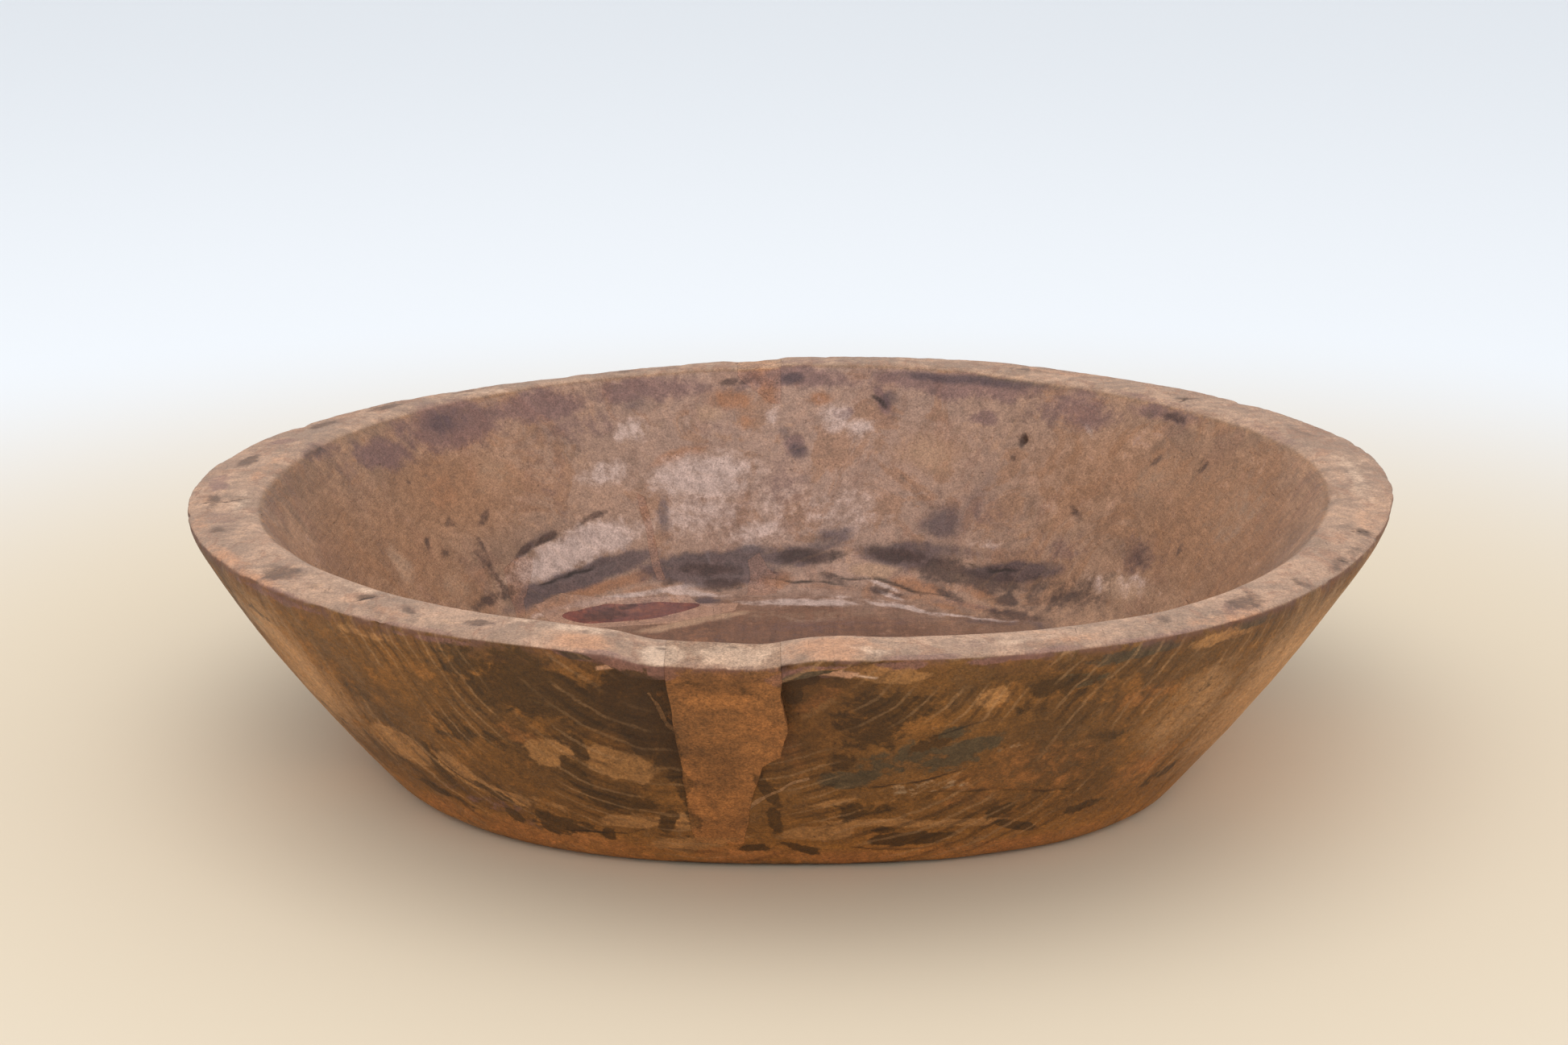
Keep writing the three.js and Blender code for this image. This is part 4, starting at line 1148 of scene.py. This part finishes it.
# The split's lower end, its edges at foot and lip, and how far plugs stand above the lip.
SPLIT_FOOT = 14
SPLIT_LEFT = -36.5
SPLIT_SPREAD = 7
LIP_LEFT = -43.5
LIP_RIGHT = -4.6
ABOVE_LIP = 30
SPLIT_TALL = LIP_HEIGHT - 28.0
FRONT_SPLIT = [
    (SPLIT_LEFT, SPLIT_FOOT), (-18.5, SPLIT_FOOT), (-15, SPLIT_FOOT + 0.33 * SPLIT_TALL),
    (-11.5, SPLIT_FOOT + 0.54 * SPLIT_TALL), (LIP_RIGHT, SPLIT_FOOT + 0.61 * SPLIT_TALL),
    (-2.6, SPLIT_FOOT + 0.76 * SPLIT_TALL), (LIP_RIGHT, LIP_HEIGHT - SPLIT_FOOT),
    (LIP_RIGHT, LIP_HEIGHT + ABOVE_LIP), (LIP_LEFT, LIP_HEIGHT + ABOVE_LIP),
    (LIP_LEFT, LIP_HEIGHT - SPLIT_FOOT),
]
WITHIN_THE_WALL = 142
PAST_THE_WALL = 290
FROM_THE_FRONT = ((0, 0, 0), (1, 0, 0), (0, 0, 1))
front_filling, front_hollow = mend("front_wall_filling", (-110, -89.5, 150),
                                   rough_outline(FRONT_SPLIT, 51), FROM_THE_FRONT,
                                   WITHIN_THE_WALL, PAST_THE_WALL)
stain(front_filling)
wood_filler = wood_finish("wood_filler", outside=(146, 95, 51), inside=(150, 108, 82),
                          floor=(146, 102, 74), top=(174, 138, 112), rings=0.0, grit=0.36,
                          mottle=0.18, stains=0.6, rough=0.74)
fit(front_filling, "front_wall_fill", wood_filler)


# ---------------------------------------------------------------------------
# The left crack filling: a thin run of paler filler in the crack that
# branches from the front split on its left side. It stops short against the
# front filling.
# ---------------------------------------------------------------------------
def flowing(course, count):
    """A smooth curve through a course's points."""
    ends = np.array(course, float)
    ends = np.vstack([2 * ends[0] - ends[1], ends, 2 * ends[-1] - ends[-2]])
    curve = []
    for share in np.linspace(0, len(course) - 1 - 1e-9, count):
        part = share - int(share)
        a, b, c, d = ends[int(share):int(share) + 4]
        curve.append(0.5 * (2 * b + (c - a) * part + (2 * a - 5 * b + 4 * c - d) * part ** 2
                            + (3 * b - a - 3 * c + d) * part ** 3))
    return np.array(curve)


def crack_band(course, wide, narrow):
    curve = flowing(course, 22)
    along = np.gradient(curve, axis=0)
    along /= np.linalg.norm(along, axis=1, keepdims=True)
    side = np.stack([-along[:, 1], along[:, 0]], axis=1)
    flat = np.column_stack([curve, np.zeros(len(curve))])
    half = np.linspace(wide, narrow, len(curve)) / 2 + 0.22 * lumps(flat, 2.5, 71)
    return np.vstack([curve - side * half[:, None], (curve + side * half[:, None])[::-1]])


def wall_frame(place, bearing, up):
    """A frame on the wall: origin, to the right round the bowl, and up the wall."""
    origin = place(bearing, up)
    higher = place(bearing, up + 1.0) - origin
    higher /= np.linalg.norm(higher)
    angle = math.radians(bearing)
    right = np.array([-math.sin(angle), math.cos(angle), 0.0])
    if place is on_inside:
        right = -right
    return origin, right, higher


def beside_split(edge, height):
    reach = float(outside_at(np.radians(-90.0), height / LIP_HEIGHT)[0])
    return wall_frame(on_outside, -90 + math.degrees(math.asin(edge / reach)), height)


CRACK_DEPTH = 6
CRACK_WIDTH = 2.2
CRACK_TIP = 1.4
PROUD = 40
LEFT_CRACK_HEIGHT = 68
LEFT_CRACK = [(1.5, -1.5), (-1.9, 1), (-4.1, 5), (-5.8, 13.7), (-8, 20.6)]
SPLIT_LEAN = SPLIT_SPREAD * (LEFT_CRACK_HEIGHT - SPLIT_FOOT) / SPLIT_TALL
LEFT_SPLIT_EDGE = SPLIT_LEFT - SPLIT_LEAN
left_crack, left_hollow = mend("left_crack_filling", (-104.5, -98.5, 60),
                               crack_band(LEFT_CRACK, CRACK_WIDTH, CRACK_TIP),
                               beside_split(LEFT_SPLIT_EDGE, LEFT_CRACK_HEIGHT),
                               -CRACK_DEPTH, PROUD, worn=True)
cut(left_crack, front_hollow, "DIFFERENCE")
stain(left_crack)
pale_filler = wood_finish("pale_filler", outside=(146, 106, 70), inside=(166, 126, 100),
                          floor=(166, 124, 100), top=(176, 142, 116), rings=0.1, grit=0.28,
                          mottle=0.16, stains=0.35, rough=0.74)
fit(left_crack, "left_crack_fill", pale_filler)


# ---------------------------------------------------------------------------
# The right crack filling: the same pale filler in the longer crack that
# climbs to the right from the foot of the front split. It too is flush with
# the wall and ends against the front filling.
# ---------------------------------------------------------------------------
RIGHT_CRACK_HEIGHT = 36
RIGHT_CRACK = [(-1.5, -2), (2.5, 3.5), (6.5, 7.3), (11, 10.5), (15, 14.5), (21.5, 17.2)]
RIGHT_SPLIT_EDGE = -15.5
right_crack, right_hollow = mend("right_crack_filling", (-95.5, -86.5, 90),
                                 crack_band(RIGHT_CRACK, CRACK_WIDTH, CRACK_TIP),
                                 beside_split(RIGHT_SPLIT_EDGE, RIGHT_CRACK_HEIGHT),
                                 -CRACK_DEPTH, PROUD, worn=True)
cut(right_crack, front_hollow, "DIFFERENCE")
stain(right_crack)
fit(right_crack, "right_crack_fill", pale_filler)


# ---------------------------------------------------------------------------
# The rear rim filling: a small plug of wood filler across the far lip,
# where the same split in the log comes out again. It is pressed in and
# rubbed down with the lip.
# ---------------------------------------------------------------------------
REAR_LEFT = -26
REAR_RIGHT = -4.8
REAR_FOOT_HEIGHT = 92
REAR_SPLIT = [
    (-10, REAR_FOOT_HEIGHT), (REAR_RIGHT, REAR_FOOT_HEIGHT), (REAR_RIGHT, LIP_HEIGHT + ABOVE_LIP),
    (REAR_LEFT, LIP_HEIGHT + ABOVE_LIP), (REAR_LEFT, 103),
]
rear_filling, rear_hollow = mend("rear_rim_filling", (90.2, 98.4, 70),
                                 rough_outline(REAR_SPLIT, 55), FROM_THE_FRONT,
                                 -PAST_THE_WALL, -HOLLOW_RADIUS)
stain(rear_filling)
fit(rear_filling, "rear_rim_fill", wood_filler)


# ---------------------------------------------------------------------------
# The rear foot filling: a shallow inlay of wood filler low on the far
# inside wall, where the floor turns up. Like the next ones it is let in only
# a few millimetres deep.
# ---------------------------------------------------------------------------
INLAY_DEPTH = 8.0
REAR_FOOT = [
    (-7.5, -10), (0, -12), (7, -10), (8, 6), (4.5, 10), (1.5, 18), (-5, 14), (-4.5, 3),
]
foot_filling, foot_hollow = mend("rear_foot_filling", (91, 101, 44),
                                 rough_outline(REAR_FOOT, 64),
                                 wall_frame(on_inside, 95.8, 15), -INLAY_DEPTH, PROUD)
stain(foot_filling)
fit(foot_filling, "rear_foot_fill", wood_filler)


# ---------------------------------------------------------------------------
# The inside streak filling: a narrow upright run of wood filler in a check
# in the far inside wall, left of the middle. It is let in flush with the
# hollow.
# ---------------------------------------------------------------------------
STREAK = [(-2.2, -23), (2.4, -23), (4.4, 22), (0.8, 25)]
streak_filling, streak_hollow = mend("inside_streak_filling", (110, 117, 50),
                                     rough_outline(STREAK, 67),
                                     wall_frame(on_inside, 113.6, 46), -INLAY_DEPTH, PROUD)
stain(streak_filling)
fit(streak_filling, "inside_streak_fill", wood_filler)


# ---------------------------------------------------------------------------
# The inside wedge filling: a wedge of wood filler low on the left of the
# far wall, pointing down to the floor. It fills the end of a wide check and
# touches the floor filling.
# ---------------------------------------------------------------------------
WEDGE = [(-10.5, -12), (-5.5, -13), (1, -5), (15, 8), (19, 14), (8, 16), (-1, 13), (-5, 0)]
wedge_filling, wedge_hollow = mend("inside_wedge_filling", (132.5, 147.5, 76),
                                   rough_outline(WEDGE, 71),
                                   wall_frame(on_inside, 141.5, 33), -INLAY_DEPTH, PROUD)
stain(wedge_filling)
fit(wedge_filling, "inside_wedge_fill", wood_filler)


# ---------------------------------------------------------------------------
# The knot: a leaf-shaped piece of dark red-brown knot wood in the floor,
# left of the middle. It is loose heartwood held by the filler round it, its
# top planed with the floor.
# ---------------------------------------------------------------------------
KNOT_BEARING = 123.5
KNOT_CLIMB = 6.0
KNOT_SKEW = 13
KNOT_LENGTH = 66.0
KNOT_BREADTH = 23.0
KNOT_DEPTH = 10
knot_angle = math.radians(KNOT_BEARING)
knot_reach = float(inside_at(knot_angle, KNOT_CLIMB)[0])
knot_turn = knot_angle - math.radians(90 + KNOT_SKEW)
knot_frame = ((knot_reach * math.cos(knot_angle), knot_reach * math.sin(knot_angle),
               FLOOR_THICKNESS),
              (math.cos(knot_turn), math.sin(knot_turn), 0),
              (-math.sin(knot_turn), math.cos(knot_turn), 0))
turns = np.linspace(0, 2 * math.pi, 60, endpoint=False)
leaf = np.abs(np.sin(turns)) ** 1.25 * np.sign(np.sin(turns))
oval = np.stack([(KNOT_LENGTH / 2) * np.cos(turns),
                 (KNOT_BREADTH / 2) * leaf - 5 + 1.5 * np.cos(turns)], axis=1)
oval += 1.5 * np.stack([lumps(np.column_stack([oval, 0 * turns]), 8, seed)
                        for seed in (74, 75)], axis=1)
knot, knot_hollow = mend("floor_knot_wood", (105, 140, 90), oval, knot_frame, -KNOT_DEPTH, PROUD)
stain(knot)
knot_wood = wood_finish("knot_wood", outside=(110, 56, 44), inside=(118, 62, 48),
                        floor=(112, 58, 48), top=(120, 70, 56), rings=0.6, grit=0.14,
                        mottle=0.26, stains=0.8, rough=0.5)
fit(knot, "floor_knot", knot_wood)


# ---------------------------------------------------------------------------
# The floor filling: pale filler spread round the knot where the floor
# meets the far wall. It is let in flush, with the knot and the wedge cut
# out of it.
# ---------------------------------------------------------------------------
FLOOR_MEND = [
    (-46, 0), (-38, -18), (10, -27), (46, -19), (52, -8), (34, -1), (33, 10), (0, 11), (-30, 9),
]
floor_filling, floor_hollow = mend("floor_filling", (97, 145, 110),
                                   rough_outline(FLOOR_MEND, 61), knot_frame,
                                   -INLAY_DEPTH, PROUD)
cut(floor_filling, wedge_hollow, "DIFFERENCE")
cut(floor_filling, knot_hollow, "DIFFERENCE")
stain(floor_filling)
fit(floor_filling, "floor_fill", pale_filler)


# ---------------------------------------------------------------------------
# The bowl again, now that every hollow is cut in it: its stains and dirt
# are laid over the finished surface, with the wood's own finish. The shapes
# used as cutters are cleared away.
# ---------------------------------------------------------------------------
for hollow in (front_hollow, left_hollow, right_hollow, rear_hollow, foot_hollow,
               streak_hollow, wedge_hollow, knot_hollow, floor_hollow):
    bpy.data.objects.remove(hollow)
stain(bowl)
fit(bowl, "bowl_body", carved_wood)


# ---------------------------------------------------------------------------
# The studio: a plain pale board that fades to white away from the bowl,
# with a large soft light overhead and another in front, under an even pale
# sky. None of it is the object.
# ---------------------------------------------------------------------------
HALF_BOARD = 9.0
FADE_BEGINS = 0.34
FADE_ENDS = 0.95
SKY_COLOUR = (0.95, 0.975, 1.0, 1.0)
SKY_STRENGTH = 0.93
floor_mesh = bpy.data.meshes.new("studio_floor")
corners = [(-HALF_BOARD, -HALF_BOARD, 0), (HALF_BOARD, -HALF_BOARD, 0),
           (HALF_BOARD, HALF_BOARD, 0), (-HALF_BOARD, HALF_BOARD, 0)]
floor_mesh.from_pydata(corners, [], [(0, 1, 2, 3)])
studio_floor = bpy.data.objects.new("studio_floor", floor_mesh)
bpy.context.collection.objects.link(studio_floor)
floor_paint = bpy.data.materials.new("studio_floor")
floor_paint.use_nodes = True
board = floor_paint.node_tree
board.nodes.clear()
distance = add(board, "VectorMath", {0: add(board, "TexCoord", out=3)}, out=1, operation="LENGTH")
fade = ramped(board, distance, FADE_BEGINS, FADE_ENDS)
board_colour = layer(board, fade, colour(224, 208, 184), colour(236, 239, 243))
board_finish = add(board, "BsdfPrincipled", {"Base Color": board_colour, "Roughness": 0.8,
                                             "Specular IOR Level": 0.2})
add(board, "OutputMaterial", {0: board_finish})
floor_mesh.materials.append(floor_paint)

world = bpy.data.worlds.new("daylight")
bpy.context.scene.world = world
world.use_nodes = True
sky = world.node_tree.nodes["Background"]
sky.inputs["Color"].default_value = SKY_COLOUR
sky.inputs["Strength"].default_value = SKY_STRENGTH


def soft_light(name, place, aim, size, power, tint):
    data = bpy.data.lights.new(name, "AREA")
    data.shape = "RECTANGLE"
    data.size, data.size_y = size
    data.energy = power
    data.color = tint
    lamp = bpy.data.objects.new(name, data)
    bpy.context.collection.objects.link(lamp)
    lamp.location = place
    towards = [a - p for a, p in zip(aim, place)]
    lamp.rotation_euler = Vector(towards).to_track_quat("-Z", "Y").to_euler()


soft_light("overhead", place=(-0.3, -0.3, 2.2), aim=(0, 0, 0), size=(2.4, 2.0),
           power=13.0, tint=(1.0, 0.98, 0.95))
soft_light("front", place=(0.4, -2.6, 1.5), aim=(0, 0, 0.05), size=(2.2, 1.4),
           power=17.0, tint=(1.0, 0.99, 0.97))

bpy.context.scene.view_settings.view_transform = "Standard"
bpy.context.scene.view_settings.look = "None"
